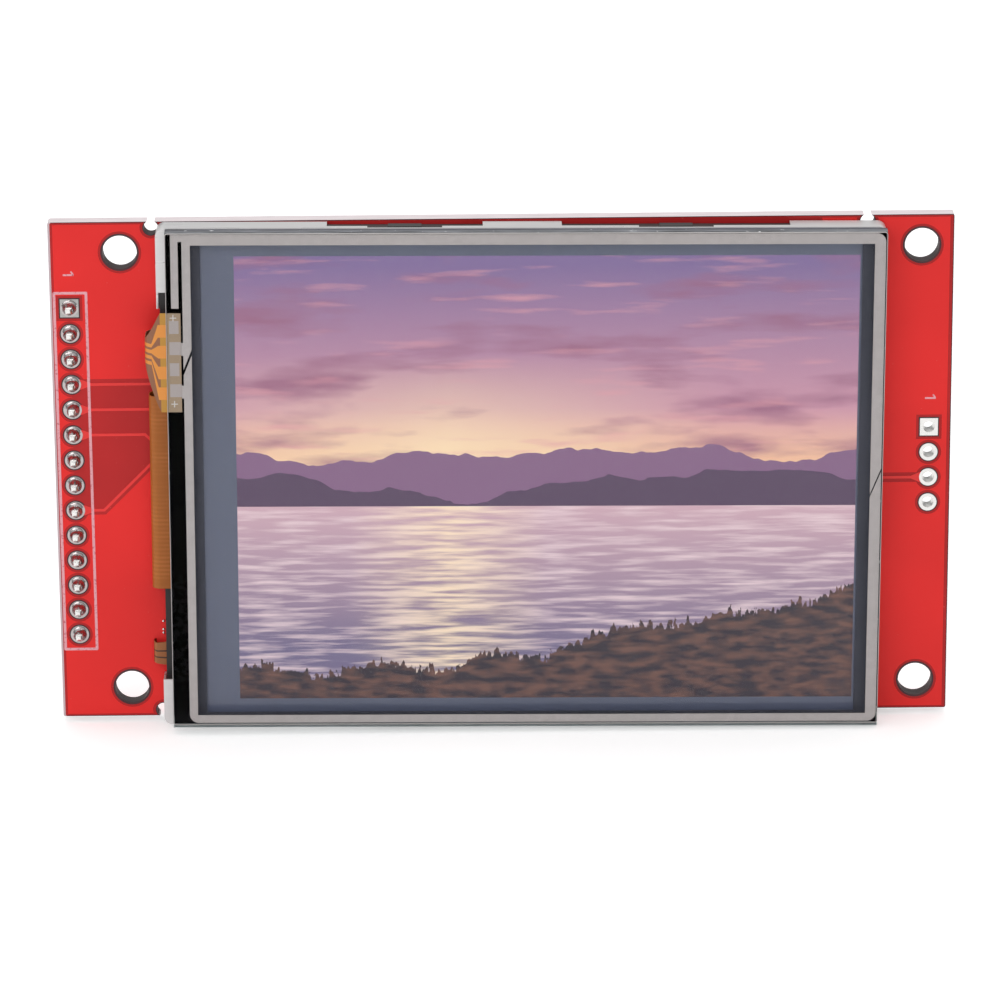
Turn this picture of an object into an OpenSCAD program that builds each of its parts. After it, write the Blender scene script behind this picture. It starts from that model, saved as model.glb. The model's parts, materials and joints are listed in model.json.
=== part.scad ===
// Colour TFT display module: a liquid-crystal panel with a resistive touch screen, stuck on
// the front of a carrier board that has a pin header, a card header and a memory-card
// socket. Everything is modelled lying flat with the display up, and is stood upright at
// the end: the board's back face is the plane Y = 0, the display faces -Y, and the origin
// is the middle of the four screw holes.

/* [Circuit board] */
// Length of the board
board_w = 86.35; // [80:0.05:100]
// Height of the board
board_h = 50; // [48:0.5:64]
// Thickness of the board
board_t = 1.6; // [0.8:0.1:2.4]
// Radius of the board's corners
board_corner_r = 0.2; // [0.1:0.1:2]
// Diameter of the screw holes
screw_hole_d = 3.3; // [2:0.1:3.6]
// Distance between the screw holes along the board
screw_span_x = 76.5; // [72:0.5:78]
// Distance between the screw holes across the board
screw_span_y = 44; // [42:0.5:45]
// Distance of the left screw holes from the board's left edge
screw_inset_left = 6.8; // [5.6:0.05:7.2]
// Diameter of the panel notches in the long edges
notch_d = 1.4; // [0.8:0.1:1.8]
// Depth of a notch's centre inside the edge
notch_inset = 0.6; // [0.3:0.05:0.7]
// Distance between the two notches of an edge
notch_span = 68.25; // [60:0.25:70]
// Place of the notches' middle along the board
notch_x = -1.1; // [-2:0.1:0]

/* [Pin header] */
// Number of pins
header_pins = 14; // [4:1:16]
// Distance from pin to pin, on both headers
pin_pitch = 2.54; // [2:0.01:2.6]
// Distance of the pins from the board's left edge
header_inset = 1.85; // [1.5:0.05:2.2]
// Side of a square pin
pin_side = 0.64; // [0.4:0.02:0.66]
// Length of a pin's tip in front of the board
pin_front = 1.2; // [0.9:0.1:2]
// Length of a pin behind the header block
pin_back = 6; // [3:0.5:12]
// Width of the plastic header block
header_block_w = 2.5; // [2:0.1:2.6]
// Height of the plastic header block
header_block_h = 2.54; // [1.5:0.02:4]
// Diameter of a soldering pad
pad_d = 1.8; // [1.5:0.05:1.9]
// Inner diameter of a plated hole
pin_hole_d = 1.0; // [0.94:0.02:1.2]
// Height of a solder cone
solder_h = 0.75; // [0.4:0.05:0.8]

/* [Card header] */
// Number of plated holes beside the display
card_pins = 4; // [1:1:8]
// Distance of these holes from the board's right edge
card_header_inset = 2.1; // [1.4:0.05:2.4]
// Diameter of their pads
card_pad_d = 1.75; // [1.4:0.05:1.9]
// Inner diameter of their holes
card_hole_d = 1.05; // [0.8:0.05:1.2]

/* [Display panel] */
// Length of the panel's metal frame
display_w = 69.4; // [69:0.1:70.6]
// Height of the panel's metal frame
display_h = 50; // [49.8:0.1:51]
// Thickness of the panel without its touch screen
display_t = 2.4; // [2.35:0.05:3]
// Place of the panel's middle along the board
display_x = -0.17; // [-0.6:0.01:0.6]
// Place of the panel's middle across the board
display_y = -0.22; // [-0.6:0.01:0.6]
// Turn of the panel against the board, clockwise
display_skew = 0.42; // [0:0.01:0.6]
// Thickness of the frame's sheet metal
sheet_t = 0.2; // [0.1:0.05:0.25]
// Outer corner radius of the frame
frame_corner_r = 0.8; // [0.3:0.1:1.2]
// Width of the frame's lip along the top and bottom
lip_long = 1.05; // [0.6:0.05:1.1]
// Width of the frame's lip at the right
lip_right = 1.6; // [0.6:0.05:1.65]
// Width of the lip's two bars at the left
lip_left = 1.5; // [0.8:0.05:1.8]
// Length of the picture
active_w = 59.5; // [50:0.1:60]
// Height of the picture
active_h = 44.6; // [36:0.1:45]
// Thickness of each glass plate
plate_t = 0.45; // [0.2:0.05:0.45]
// Thickness of the foam tape under the panel
mount_tape_t = 0.3; // [0.3:0.05:1]

/* [Touch panel] */
// Length of the touch panel
touch_w = 68.4; // [68:0.1:69]
// Height of the touch panel
touch_h = 49.8; // [49.2:0.1:50]
// Thickness of the touch panel's glass
touch_glass_t = 1.0; // [0.5:0.1:1.4]
// Thickness of the touch panel's film
touch_film_t = 0.2; // [0.1:0.05:0.4]
// Thickness of the black tape under the glass
touch_tape_t = 0.2; // [0.1:0.05:0.4]
// How much shorter the film is than the glass at the bottom
film_short = 0.39; // [0.1:0.01:0.5]
// Width of the silver border at the top and right
silver_w = 1.05; // [0.6:0.05:1.1]
// Width of the silver border at the left and bottom
silver_narrow = 0.8; // [0.5:0.05:0.9]
// Margin outside the silver border at the top and right
silver_margin = 0.15; // [0.1:0.05:0.3]

/* [Flexible circuits] */
// Thickness of the flexible circuits
flex_t = 0.1; // [0.06:0.01:0.12]
// Width of the panel's flexible circuit
display_flex_w = 19.4; // [16:0.2:28.6]
// How far that circuit bulges out of the frame
display_flex_out = 0.85; // [0.5:0.05:0.9]
// How far the touch panel's circuit bulges out
touch_flex_out = 1.05; // [0.95:0.05:1.4]
// Width of the backlight's circuit
light_flex_w = 2.5; // [1.5:0.1:3]

/* [Card socket] */
// Width of the card socket
socket_w = 28.2; // [27:0.1:30]
// Depth of the card socket
socket_d = 26.5; // [22:0.5:30]
// Height of the card socket
socket_h = 2.9; // [2.8:0.1:4]
// Distance of the card socket's middle from the board's right edge
socket_x = 23.3; // [22:0.1:27.4]
// Thickness of the socket's sheet metal
shell_t = 0.25; // [0.15:0.05:0.3]

/* [Hidden] */
$fn = 48;

eps = 0.01;                // overshoot of cutting shapes
plating_t = 0.05;          // plated copper on pads and in holes
slip = 0.05;               // clearance of pieces laid into each other

// Board outline seen from the front
board_left = -(screw_inset_left + screw_span_x / 2);
board_right = board_left + board_w;
board_mid_x = (board_left + board_right) / 2;
header_x = board_left + header_inset;
card_header_x = board_right - card_header_inset;
socket_mid = board_right - socket_x;

// Heights above the board's back face
panel_z = board_t + mount_tape_t;
lip_z = panel_z + display_t - sheet_t;
touch_tape_z = panel_z + display_t;
touch_glass_z = touch_tape_z + touch_tape_t;
bond_z = touch_glass_z + touch_glass_t;
electrode_t = 0.05;
bond_t = flex_t + electrode_t;
touch_film_z = bond_z + bond_t;

// Layers inside the panel, from the back
reflector_z = panel_z + 0.05;
reflector_t = 0.1;
guide_z = reflector_z + reflector_t;
guide_t = 0.6;
sheet_film_t = 0.08;
diffuser_z = guide_z + guide_t;
lower_prism_z = diffuser_z + sheet_film_t;
upper_prism_z = lower_prism_z + sheet_film_t;
ledge_z = upper_prism_z + sheet_film_t + 0.01;
rim_tape_t = 0.05;
polarizer_t = 0.13;
cell_gap = 0.05;
rear_polarizer_z = ledge_z + rim_tape_t;
transistor_glass_z = rear_polarizer_z + polarizer_t;
cell_z = transistor_glass_z + plate_t;
filter_glass_z = cell_z + cell_gap;
front_polarizer_z = filter_glass_z + plate_t;

// Plan sizes inside the panel, measured from the panel's middle
panel_x = display_w / 2;
panel_y = display_h / 2;
window_left = 30.5;
window_right = panel_x - 2.3;
active_x = 2.45;
active_y = -0.27;
guide_left = 29.6;
guide_right = panel_x - 1.8;
guide_y = panel_y - 1.8;
glass_left = panel_x - 1.1;
glass_right = panel_x - 0.7;
glass_y = panel_y - 0.9;
filter_left = window_left + 0.7;
polarizer_left = window_left + 0.45;
polarizer_right = panel_x - lip_right - slip;
polarizer_y = panel_y - lip_long - slip;
housing_gap = 0.1;

// The open part of the frame's left side, where the flexible circuits leave
lip_open_top = panel_y - 6.3;
lip_open_bottom = -(panel_y - 4.65);
wall_open_top = lip_open_top - 1.65;

// Cut-outs of the frame's long walls: middle, length, deep length
wall_windows = [[-11.05, 14.8, 7.1], [14.7, 21.7, 7.1]];
snap_boss_w = 3.2;
wall_left_over = 0.8;

// Touch panel, measured from the panel's middle
touch_x = panel_x - touch_w / 2 - 0.05;
touch_left = touch_x - touch_w / 2;
touch_right = touch_x + touch_w / 2;
touch_top = touch_h / 2;
tape_left_w = 3.25;
tape_right_w = 2.25;
tape_top_w = 1.25;
tape_bottom_w = 1.2;
silver_left = touch_left + 1.6;
silver_right = touch_right - silver_margin;
silver_top = touch_top - silver_margin;
silver_bottom = -touch_top + film_short + silver_margin;
silver_corner_r = 0.9;
feeder_w = 0.71;
feeder_left = touch_left + 0.53;
feeder_bottom = 17.5;

// Tail of the touch panel
tail_top = wall_open_top;
tail_bottom = tail_top - 9.8;
tail_pad_w = 1.28;
tail_pad_pitch = 2.12;
tail_first_pad = tail_top - 1.45;
tail_end = touch_left + 1.4;

// Openings in the board for the card socket's locating pegs
peg_d = 1.2;
peg_length = 1.2;
peg_span = socket_w - 6;
peg_inset = 2;

socket_y = -board_h / 2 + 0.5;   // mouth of the card socket, just inside the edge
rail_w = 1.4;
rear_block_d = 4;
contact_w = 0.8;
contact_t = 0.15;
contact_pitch = 2.4;
contact_count = 9;

module rounded_rect(x0, x1, y0, y1, r) {
    translate([x0 + r, y0]) square([x1 - x0 - 2 * r, y1 - y0]);
    translate([x0, y0 + r]) square([x1 - x0, y1 - y0 - 2 * r]);
    for (x = [x0 + r, x1 - r], y = [y0 + r, y1 - r]) translate([x, y]) circle(r);
}

module plate(x0, x1, y0, y1, z, t) {
    translate([x0, y0, z]) cube([x1 - x0, y1 - y0, t]);
}

// A ring of rectangular plan: outer box less inner box
module frame_ring(x0, x1, y0, y1, in0, in1, in2, in3, z, t) {
    difference() {
        plate(x0, x1, y0, y1, z, t);
        plate(in0, in1, in2, in3, z - eps, t + 2 * eps);
    }
}

// Puts pieces that are drawn round the panel's middle where the panel is stuck on the board
module on_panel() {
    translate([display_x, display_y, 0]) rotate(-display_skew) children();
}

// Puts pieces that are drawn standing on a plane on the board's back face
module on_back() {
    mirror([0, 0, 1]) children();
}

module screw_positions() {
    for (x = [-1, 1], y = [-1, 1]) translate([x * screw_span_x / 2, y * screw_span_y / 2]) children();
}

module header_positions(count, x) {
    for (i = [0 : count - 1]) translate([x, ((count - 1) / 2 - i) * pin_pitch]) children();
}

module peg_positions() {
    for (side = [-1, 1]) translate([socket_mid + side * peg_span / 2, socket_y + peg_inset]) children();
}

module circuit_board() {
    color([0.80, 0.13, 0.14])
    linear_extrude(board_t) difference() {
        rounded_rect(board_left, board_right, -board_h / 2, board_h / 2, board_corner_r);
        screw_positions() circle(d = screw_hole_d);
        header_positions(header_pins, header_x) circle(d = pin_hole_d + 2 * plating_t);
        header_positions(card_pins, card_header_x) circle(d = card_hole_d + 2 * plating_t);
        peg_positions() circle(d = peg_d + 2 * slip);
        for (x = [-1, 1], y = [-1, 1])
            translate([notch_x + x * notch_span / 2, y * (board_h / 2 - notch_inset)]) circle(d = notch_d);
    }
}

// Plated hole with a pad on both faces; the first one of a row has square pads
module eyelet(hole_d, land_d, first) {
    difference() {
        union() {
            cylinder(d = hole_d + 2 * plating_t, h = board_t);
            for (z = [-plating_t, board_t]) translate([0, 0, z])
                if (first) translate([-land_d / 2, -land_d / 2, 0]) cube([land_d, land_d, plating_t]);
                else cylinder(d = land_d, h = plating_t);
        }
        translate([0, 0, -2 * plating_t]) cylinder(d = hole_d, h = board_t + 4 * plating_t);
    }
}

module eyelet_row(count, x, hole_d, land_d) {
    for (i = [0 : count - 1])
        translate([x, ((count - 1) / 2 - i) * pin_pitch, 0]) eyelet(hole_d, land_d, i == 0);
}

module header_eyelets() {
    color([0.85, 0.84, 0.82]) eyelet_row(header_pins, header_x, pin_hole_d, pad_d);
}

module card_header_eyelets() {
    color([0.85, 0.84, 0.82]) eyelet_row(card_pins, card_header_x, card_hole_d, card_pad_d);
}

// Plastic strip with a waist between its positions, pushed against the board's back
module header_block() {
    waist = 0.5;
    half = header_block_w / 2;
    step = pin_pitch / 2;
    color([0.10, 0.10, 0.11])
    on_back() difference() {
        translate([0, 0, plating_t]) linear_extrude(header_block_h) header_positions(header_pins, header_x)
            polygon([[-half, -step + waist], [-half + waist, -step], [half - waist, -step],
                     [half, -step + waist], [half, step - waist], [half - waist, step],
                     [-half + waist, step], [-half, step - waist]]);
        header_positions(header_pins, header_x)
            translate([-pin_side / 2, -pin_side / 2, 0]) cube([pin_side, pin_side, header_block_h + 1]);
    }
}

// Outline of a square pin seen from the side, with chamfered tips
module pin_outline(z0, z1) {
    half = pin_side / 2;
    tip = pin_side / 3.2;
    polygon([[-half, z0 + tip], [-half + tip, z0], [half - tip, z0], [half, z0 + tip],
             [half, z1 - tip], [half - tip, z1], [-half + tip, z1], [-half, z1 - tip]]);
}

module square_pin(z0, z1) {
    intersection() {
        rotate([90, 0, 0]) linear_extrude(pin_side, center = true) pin_outline(z0, z1);
        rotate([90, 0, 90]) linear_extrude(pin_side, center = true) pin_outline(z0, z1);
    }
}

module header_pins() {
    color([0.80, 0.78, 0.72]) header_positions(header_pins, header_x)
        square_pin(-plating_t - header_block_h - pin_back, board_t + pin_front);
}

// Solder drawn up round a pin, hollow-sided like a drop that wets both
module solder_cone() {
    foot_r = pad_d / 2 - 0.06;
    neck_r = pin_side / 2 + 0.14;
    difference() {
        rotate_extrude() difference() {
            square([foot_r, solder_h]);
            translate([foot_r + 0.05, solder_h + 0.05]) circle(foot_r - neck_r + 0.05);
        }
        translate([-pin_side / 2, -pin_side / 2, -eps]) cube([pin_side, pin_side, solder_h + 2 * eps]);
    }
}

module header_solder() {
    color([0.78, 0.78, 0.78]) header_positions(header_pins, header_x)
        translate([0, 0, board_t + plating_t]) solder_cone();
}

foam_w = 8;
foam_margin = 3;
foam_places = [-12, 24];

// Two strips of foam tape that hold the panel on the board
module mounting_tapes() {
    half = panel_y - foam_margin;
    color([0.93, 0.93, 0.90]) on_panel() for (x = foam_places)
        plate(x - foam_w / 2, x + foam_w / 2, -half, half, board_t, mount_tape_t);
}

// Folded sheet: a lip round the front and walls down the sides, open at the left
module metal_frame() {
    inner_x = panel_x - sheet_t;
    inner_y = panel_y - sheet_t;
    color([0.82, 0.82, 0.81]) on_panel() difference() {
        translate([0, 0, panel_z]) linear_extrude(display_t)
            rounded_rect(-panel_x, panel_x, -panel_y, panel_y, frame_corner_r);
        // inside of the walls
        translate([0, 0, panel_z - eps]) linear_extrude(display_t - sheet_t + eps)
            rounded_rect(-inner_x, inner_x, -inner_y, inner_y, frame_corner_r - sheet_t);
        // window in the lip
        plate(-panel_x + lip_left, panel_x - lip_right, -panel_y + lip_long, panel_y - lip_long,
              panel_z, display_t + 1);
        // open left side
        plate(-panel_x - 1, -panel_x + lip_left + 1, lip_open_bottom, lip_open_top, lip_z - eps, 1);
        plate(-panel_x - 1, -panel_x + lip_left, lip_open_bottom, wall_open_top, panel_z - 1, display_t + 2);
        // cut-outs of the long walls
        for (side = [-1, 1], w = wall_windows) translate([w[0], side * panel_y, 0]) {
            translate([-w[1] / 2, -sheet_t * 1.5, panel_z - 1])
                cube([w[1], sheet_t * 3, 1 + display_t - wall_left_over]);
            translate([-w[2] / 2, -sheet_t * 1.5, panel_z - 1])
                cube([w[2], sheet_t * 3, 1 + display_t - sheet_t]);
        }
    }
}

// Moulded frame that carries the light guide, the film stack and the glass
module backlight_housing() {
    outer_x = panel_x - sheet_t - slip;
    outer_y = panel_y - sheet_t - slip;
    color([0.12, 0.12, 0.13]) on_panel() {
        difference() {
            translate([0, 0, panel_z]) linear_extrude(display_t - sheet_t - slip)
                rounded_rect(-outer_x, outer_x, -outer_y, outer_y, frame_corner_r - sheet_t - slip);
            // well of the light guide and its lamps
            plate(-guide_left - 3.6, guide_right + housing_gap, -guide_y - housing_gap,
                  guide_y + housing_gap, panel_z - 1, display_t + 2);
            // seat of the glass
            plate(-glass_left - housing_gap, glass_right + housing_gap, -glass_y - housing_gap,
                  glass_y + housing_gap, ledge_z, display_t);
            // way out for the flexible circuits
            plate(-panel_x, -glass_left, lip_open_bottom, wall_open_top, ledge_z, display_t);
            // way out for the backlight's own circuit
            plate(-panel_x, -guide_left - 3, light_flex_y - light_flex_w / 2 - slip,
                  light_flex_y + light_flex_w / 2 + slip, panel_z - 1, 1 + light_flex_z - panel_z + 0.3);
        }
        for (side = [-1, 1], w = wall_windows)
            translate([w[0] - snap_boss_w / 2, side > 0 ? outer_y : -outer_y - sheet_t, panel_z + 0.5])
                cube([snap_boss_w, sheet_t, 1.1]);
    }
}

module reflector_sheet() {
    color([0.97, 0.97, 0.97]) on_panel()
        plate(-guide_left, guide_right, -guide_y, guide_y, reflector_z, reflector_t);
}

// Clear plate with shallow notches at its lit edge, one behind each lamp
module light_guide() {
    color([0.75, 0.90, 0.95, 0.6]) on_panel() difference() {
        plate(-guide_left, guide_right, -guide_y, guide_y, guide_z, guide_t);
        for (y = led_places) translate([-guide_left, y, guide_z - eps])
            cylinder(d = 0.5, h = guide_t + 2 * eps);
    }
}

led_w = 3;
led_d = 0.9;
led_t = 0.55;
led_places = [for (i = [-1.5 : 1 : 1.5]) i * 11];

module backlight_leds() {
    color([0.96, 0.92, 0.55]) on_panel() for (y = led_places)
        plate(-guide_left - led_d - slip, -guide_left - slip, y - led_w / 2, y + led_w / 2,
              light_flex_z + flex_t, led_t);
}

light_flex_z = reflector_z;
light_flex_y = -18.35;

// Side view of a strip that leaves to the left, folds round and comes back underneath.
// It is drawn in the plane of X and Z, round its outer faces.
module fold_profile(x_apex, z_top, z_bottom, r, x_top_end, x_bottom_end) {
    module corner(z) {
        translate([x_apex + r, z]) intersection() {
            difference() {
                circle(r);
                circle(r - flex_t);
            }
            translate([-r, z > (z_top + z_bottom) / 2 ? 0 : -r]) square(r);
        }
    }
    translate([x_apex + r, z_top - flex_t]) square([x_top_end - x_apex - r, flex_t]);
    corner(z_top - r);
    translate([x_apex, z_bottom + r]) square([flex_t, z_top - z_bottom - 2 * r]);
    corner(z_bottom + r);
    translate([x_apex + r, z_bottom]) square([x_bottom_end - x_apex - r, flex_t]);
}

module fold(y0, y1, x_apex, z_top, z_bottom, r, x_top_end, x_bottom_end) {
    translate([0, y1, 0]) rotate([90, 0, 0]) linear_extrude(y1 - y0)
        fold_profile(x_apex, z_top, z_bottom, r, x_top_end, x_bottom_end);
}

// Strip under the lamps with a tail that loops out of the side and back under the panel
module backlight_flex() {
    x_apex = -panel_x - 0.9;
    tail_y0 = light_flex_y - light_flex_w / 2;
    tail_y1 = light_flex_y + light_flex_w / 2;
    color([0.80, 0.42, 0.12]) on_panel() {
        plate(-guide_left - 3.4, -guide_left - slip, tail_y0, guide_y - 2, light_flex_z, flex_t);
        fold(tail_y0, tail_y1, x_apex, light_flex_z + flex_t, board_t, 0.22,
             -guide_left - 3.4, -panel_x + 3);
        // slanted leg under the panel
        translate([0, 0, board_t]) linear_extrude(flex_t)
            polygon([[x_apex + 0.22, tail_y1], [x_apex + 0.35, tail_y1 + 1.4],
                     [-panel_x - 0.3, tail_y1 + 3], [-panel_x + 1.5, tail_y1 + 4.4],
                     [-panel_x + 3, tail_y1 + 4.4], [-panel_x + 3, tail_y1]]);
    }
}

module diffuser_sheet() {
    color([0.95, 0.96, 0.97]) on_panel()
        plate(-guide_left, guide_right, -guide_y, guide_y, diffuser_z, sheet_film_t);
}

module lower_prism_sheet() {
    color([0.88, 0.91, 0.94]) on_panel()
        plate(-guide_left + 0.3, guide_right, -guide_y, guide_y, lower_prism_z, sheet_film_t);
}

module upper_prism_sheet() {
    color([0.84, 0.88, 0.92]) on_panel()
        plate(-guide_left + 0.3, guide_right, -guide_y, guide_y, upper_prism_z, sheet_film_t);
}

// Black tape on the housing's ledge, under the glass
module rim_tape() {
    color([0.06, 0.06, 0.06]) on_panel()
        frame_ring(-guide_left - 3.8, guide_right + 0.6, -guide_y - 0.6, guide_y + 0.6,
                   -guide_left + 0.8, guide_right - 0.8, -guide_y + 0.8, guide_y - 0.8,
                   ledge_z, rim_tape_t);
}

module rear_polarizer() {
    color([0.25, 0.27, 0.33]) on_panel()
        plate(-polarizer_left, glass_right - 0.4, -glass_y + 0.3, glass_y - 0.3,
              rear_polarizer_z, polarizer_t);
}

module transistor_glass() {
    color([0.70, 0.85, 0.85, 0.6]) on_panel()
        plate(-glass_left, glass_right, -glass_y, glass_y, transistor_glass_z, plate_t);
}

// Bead of glue that closes the gap between the plates
module cell_seal() {
    color([0.85, 0.80, 0.62]) on_panel()
        frame_ring(-filter_left + 0.2, glass_right - 0.2, -glass_y + 0.2, glass_y - 0.2,
                   -window_left - 0.1, window_right + 0.35, -glass_y + 0.9, glass_y - 0.9,
                   cell_z, cell_gap);
}

// Switched layer, as large as the picture
module liquid_crystal() {
    color([0.35, 0.33, 0.55]) on_panel()
        plate(active_x - active_w / 2, active_x + active_w / 2, active_y - active_h / 2,
              active_y + active_h / 2, cell_z, cell_gap);
}

module color_filter_glass() {
    color([0.62, 0.72, 0.78, 0.6]) on_panel()
        plate(-filter_left, glass_right, -glass_y, glass_y, filter_glass_z, plate_t);
}

module front_polarizer() {
    color([0.42, 0.44, 0.55]) on_panel()
        plate(-polarizer_left, polarizer_right, -polarizer_y, polarizer_y, front_polarizer_z, polarizer_t);
}

driver_w = 0.9;
driver_l = 18;
driver_t = 0.3;
flex_land = 1.6;           // how far the panel's circuit ends from the front plate
display_flex_tail = 14;    // how far it reaches back under the panel

module driver_chip() {
    color([0.30, 0.30, 0.34]) on_panel()
        plate(-filter_left - driver_t - driver_w, -filter_left - driver_t, -driver_l / 2, driver_l / 2,
              cell_z, driver_t);
}

module display_flex() {
    flex_top = tail_bottom + 0.95;
    color([0.70, 0.40, 0.12]) on_panel()
        fold(flex_top - display_flex_w, flex_top, -panel_x - display_flex_out, cell_z + flex_t,
             panel_z - flex_t - 0.03, 0.7, -filter_left - flex_land, -panel_x + display_flex_tail);
}

// Black tape ring that holds the touch panel on the frame
module touch_tape() {
    color([0.10, 0.10, 0.12]) on_panel()
        frame_ring(touch_left, touch_right, -touch_top, touch_top,
                   touch_left + tape_left_w, touch_right - tape_right_w,
                   -touch_top + tape_bottom_w, touch_top - tape_top_w, touch_tape_z, touch_tape_t);
}

module touch_glass() {
    color([0.75, 0.85, 0.85, 0.4]) on_panel()
        plate(touch_left, touch_right, -touch_top, touch_top, touch_glass_z, touch_glass_t);
}

// Printed silver: the border, the feeder at the left and four pads on the tail
module electrode_outline() {
    difference() {
        rounded_rect(silver_left, silver_right, silver_bottom, silver_top, silver_corner_r);
        translate([silver_left + silver_narrow, silver_bottom + silver_narrow])
            square([silver_right - silver_left - silver_w - silver_narrow,
                    silver_top - silver_bottom - silver_w - silver_narrow]);
        // breaks that part the two electrodes, at the left and at the right
        translate([silver_left + silver_narrow / 2, tail_top - 4.9]) rotate(-22)
            square([0.2, 3], center = true);
        translate([silver_right - silver_w / 2, -0.05]) rotate(-22)
            square([0.12, 3.4], center = true);
    }
    translate([feeder_left, feeder_bottom]) square([feeder_w, silver_top - feeder_bottom]);
    translate([feeder_left, silver_top - 0.7]) square([1.8, 0.7]);
    for (i = [0 : 3])
        translate([touch_left + 0.25, tail_first_pad - i * tail_pad_pitch - tail_pad_w / 2])
            square([i % 2 == 0 ? 1 : silver_left + 0.1 - touch_left - 0.25, tail_pad_w]);
}

module touch_electrodes() {
    color([0.70, 0.68, 0.66]) on_panel()
        translate([0, 0, touch_film_z - electrode_t]) linear_extrude(electrode_t) electrode_outline();
}

// Clear glue round the edge, between the glass and the film
module touch_bond() {
    color([0.85, 0.88, 0.80, 0.5]) on_panel() difference() {
        frame_ring(touch_left, touch_right, -touch_top + film_short, touch_top,
                   silver_left + silver_narrow, silver_right - silver_w,
                   silver_bottom + silver_narrow, silver_top - silver_w, bond_z, bond_t);
        translate([0, 0, touch_film_z - electrode_t]) linear_extrude(electrode_t + eps) electrode_outline();
        plate(touch_left - 1, tail_end, tail_bottom, tail_top, bond_z - eps, bond_t + 2 * eps);
    }
}

module touch_film() {
    color([0.80, 0.86, 0.88, 0.35]) on_panel()
        translate([0, 0, touch_film_z]) linear_extrude(touch_film_t)
            rounded_rect(touch_left, touch_right, -touch_top + film_short, touch_top, 0.3);
}

// Wide head under the film that narrows to a neck where it folds round the panel
module touch_flex() {
    x_apex = -panel_x - touch_flex_out;
    z_top = bond_z + flex_t;
    neck_y = (tail_top + tail_bottom) / 2 + 1.1;
    neck_half = 1.1;
    mid_z = (z_top + board_t) / 2;
    color([0.93, 0.60, 0.26]) on_panel() intersection() {
        fold(tail_bottom, tail_top, x_apex, z_top, board_t, 1.2, tail_end, -panel_x + 9);
        union() {
            translate([0, 0, mid_z - 0.5]) linear_extrude(z_top)
                polygon([[tail_end + 1, tail_top], [touch_left - 0.6, tail_top],
                         [x_apex - eps, neck_y + neck_half], [x_apex - eps, neck_y - neck_half],
                         [touch_left - 0.6, tail_bottom], [tail_end + 1, tail_bottom]]);
            translate([x_apex - 1, neck_y - neck_half, 0]) cube([2, 2 * neck_half, z_top]);
            translate([x_apex, neck_y - neck_half, 0]) cube([panel_x, 2 * neck_half, mid_z]);
        }
    }
}

// Folded shell of the card socket, open at the mouth and at the back
module card_socket_shell() {
    x0 = socket_mid - socket_w / 2;
    foot = 1.2;
    color([0.80, 0.80, 0.80]) on_back() difference() {
        union() {
            difference() {
                translate([x0, socket_y, 0]) cube([socket_w, socket_d - 1, socket_h]);
                translate([x0 + shell_t, socket_y - 1, -1])
                    cube([socket_w - 2 * shell_t, socket_d + 2, socket_h + 1 - shell_t]);
            }
            for (side = [0, 1], y = [3, socket_d - 6])
                translate([side == 0 ? x0 - foot : x0 + socket_w - shell_t, socket_y + y, 0])
                    cube([foot + shell_t, 2, shell_t]);
        }
        // two leaf springs cut free on three sides
        for (side = [-1, 1]) translate([socket_mid + side * 8.5, socket_y + 9, socket_h - 1]) difference() {
            translate([-1.5, 0, 0]) cube([3, 8, 2]);
            translate([-1, -1, -1]) cube([2, 8.2, 4]);
        }
        // windows over the contacts and in the mouth's edge
        for (x = [-6, 0, 6]) translate([socket_mid + x - 1, socket_y + socket_d - 5, socket_h - 1]) cube([2, 1.6, 2]);
        translate([socket_mid, socket_y - 3, socket_h - 1]) cylinder(r = 6, h = 2);
        // openings of the side walls
        for (side = [-1, 1]) translate([socket_mid + side * socket_w / 2 - 1, socket_y + 9, 0.9]) cube([2, 4, 1]);
    }
}

// Plastic base: two rails, a bar at the mouth and a block that holds the contacts
module card_socket_base() {
    x0 = socket_mid - socket_w / 2 + shell_t + slip;
    w = socket_w - 2 * shell_t - 2 * slip;
    block_y = socket_y + socket_d - rear_block_d;
    h = socket_h - shell_t - slip;
    floor_t = 0.35;
    color([0.13, 0.13, 0.14]) on_back() {
        difference() {
            union() {
                for (x = [x0, x0 + w - rail_w]) translate([x, socket_y + 0.5, 0]) cube([rail_w, socket_d - 1, h]);
                translate([x0, block_y, 0]) cube([w, rear_block_d, h]);
                translate([x0, socket_y + 0.5, 0]) cube([w, 3.5, floor_t]);
            }
            // ways for the contacts
            for (i = [0 : contact_count - 1])
                translate([contact_place(i) - contact_w / 2 - slip, block_y - 1, -eps])
                    cube([contact_w + 2 * slip, rear_block_d + 2, contact_t + slip + eps]);
            // key of the card's cut corner
            translate([x0 + w - rail_w - 1, block_y - 3, h - 0.8]) cube([1.6, 2, 2]);
            // relief hollows in the block
            for (x = [-8, 0, 8]) translate([socket_mid + x - 2, block_y + 1.4, h - 0.9]) cube([4, 1.6, 2]);
        }
        peg_positions() translate([0, 0, -peg_length]) cylinder(d = peg_d, h = peg_length + eps);
    }
}

function contact_place(i) = socket_mid + (i - (contact_count - 1) / 2) * contact_pitch;

// Spring contacts: a soldered tail, a flat run through the block and a raised, bowed tip
module card_contacts() {
    tail_y = socket_y + socket_d + 0.8;
    run_y = socket_y + socket_d - rear_block_d;
    rise = 0.9;
    t = contact_t;
    color([0.85, 0.70, 0.35]) on_back() for (i = [0 : contact_count - 1])
        translate([contact_place(i) + contact_w / 2, 0, 0]) rotate([90, 0, -90]) linear_extrude(contact_w)
            polygon([[-tail_y, 0], [-tail_y, t], [-run_y, t], [-run_y + 5, t + rise],
                     [-run_y + 6, t + rise], [-run_y + 7.2, t + rise - 0.5], [-run_y + 7.2, rise - 0.5],
                     [-run_y + 6, rise], [-run_y + 5.1, rise], [-run_y + 0.1, 0]]);
}

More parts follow.
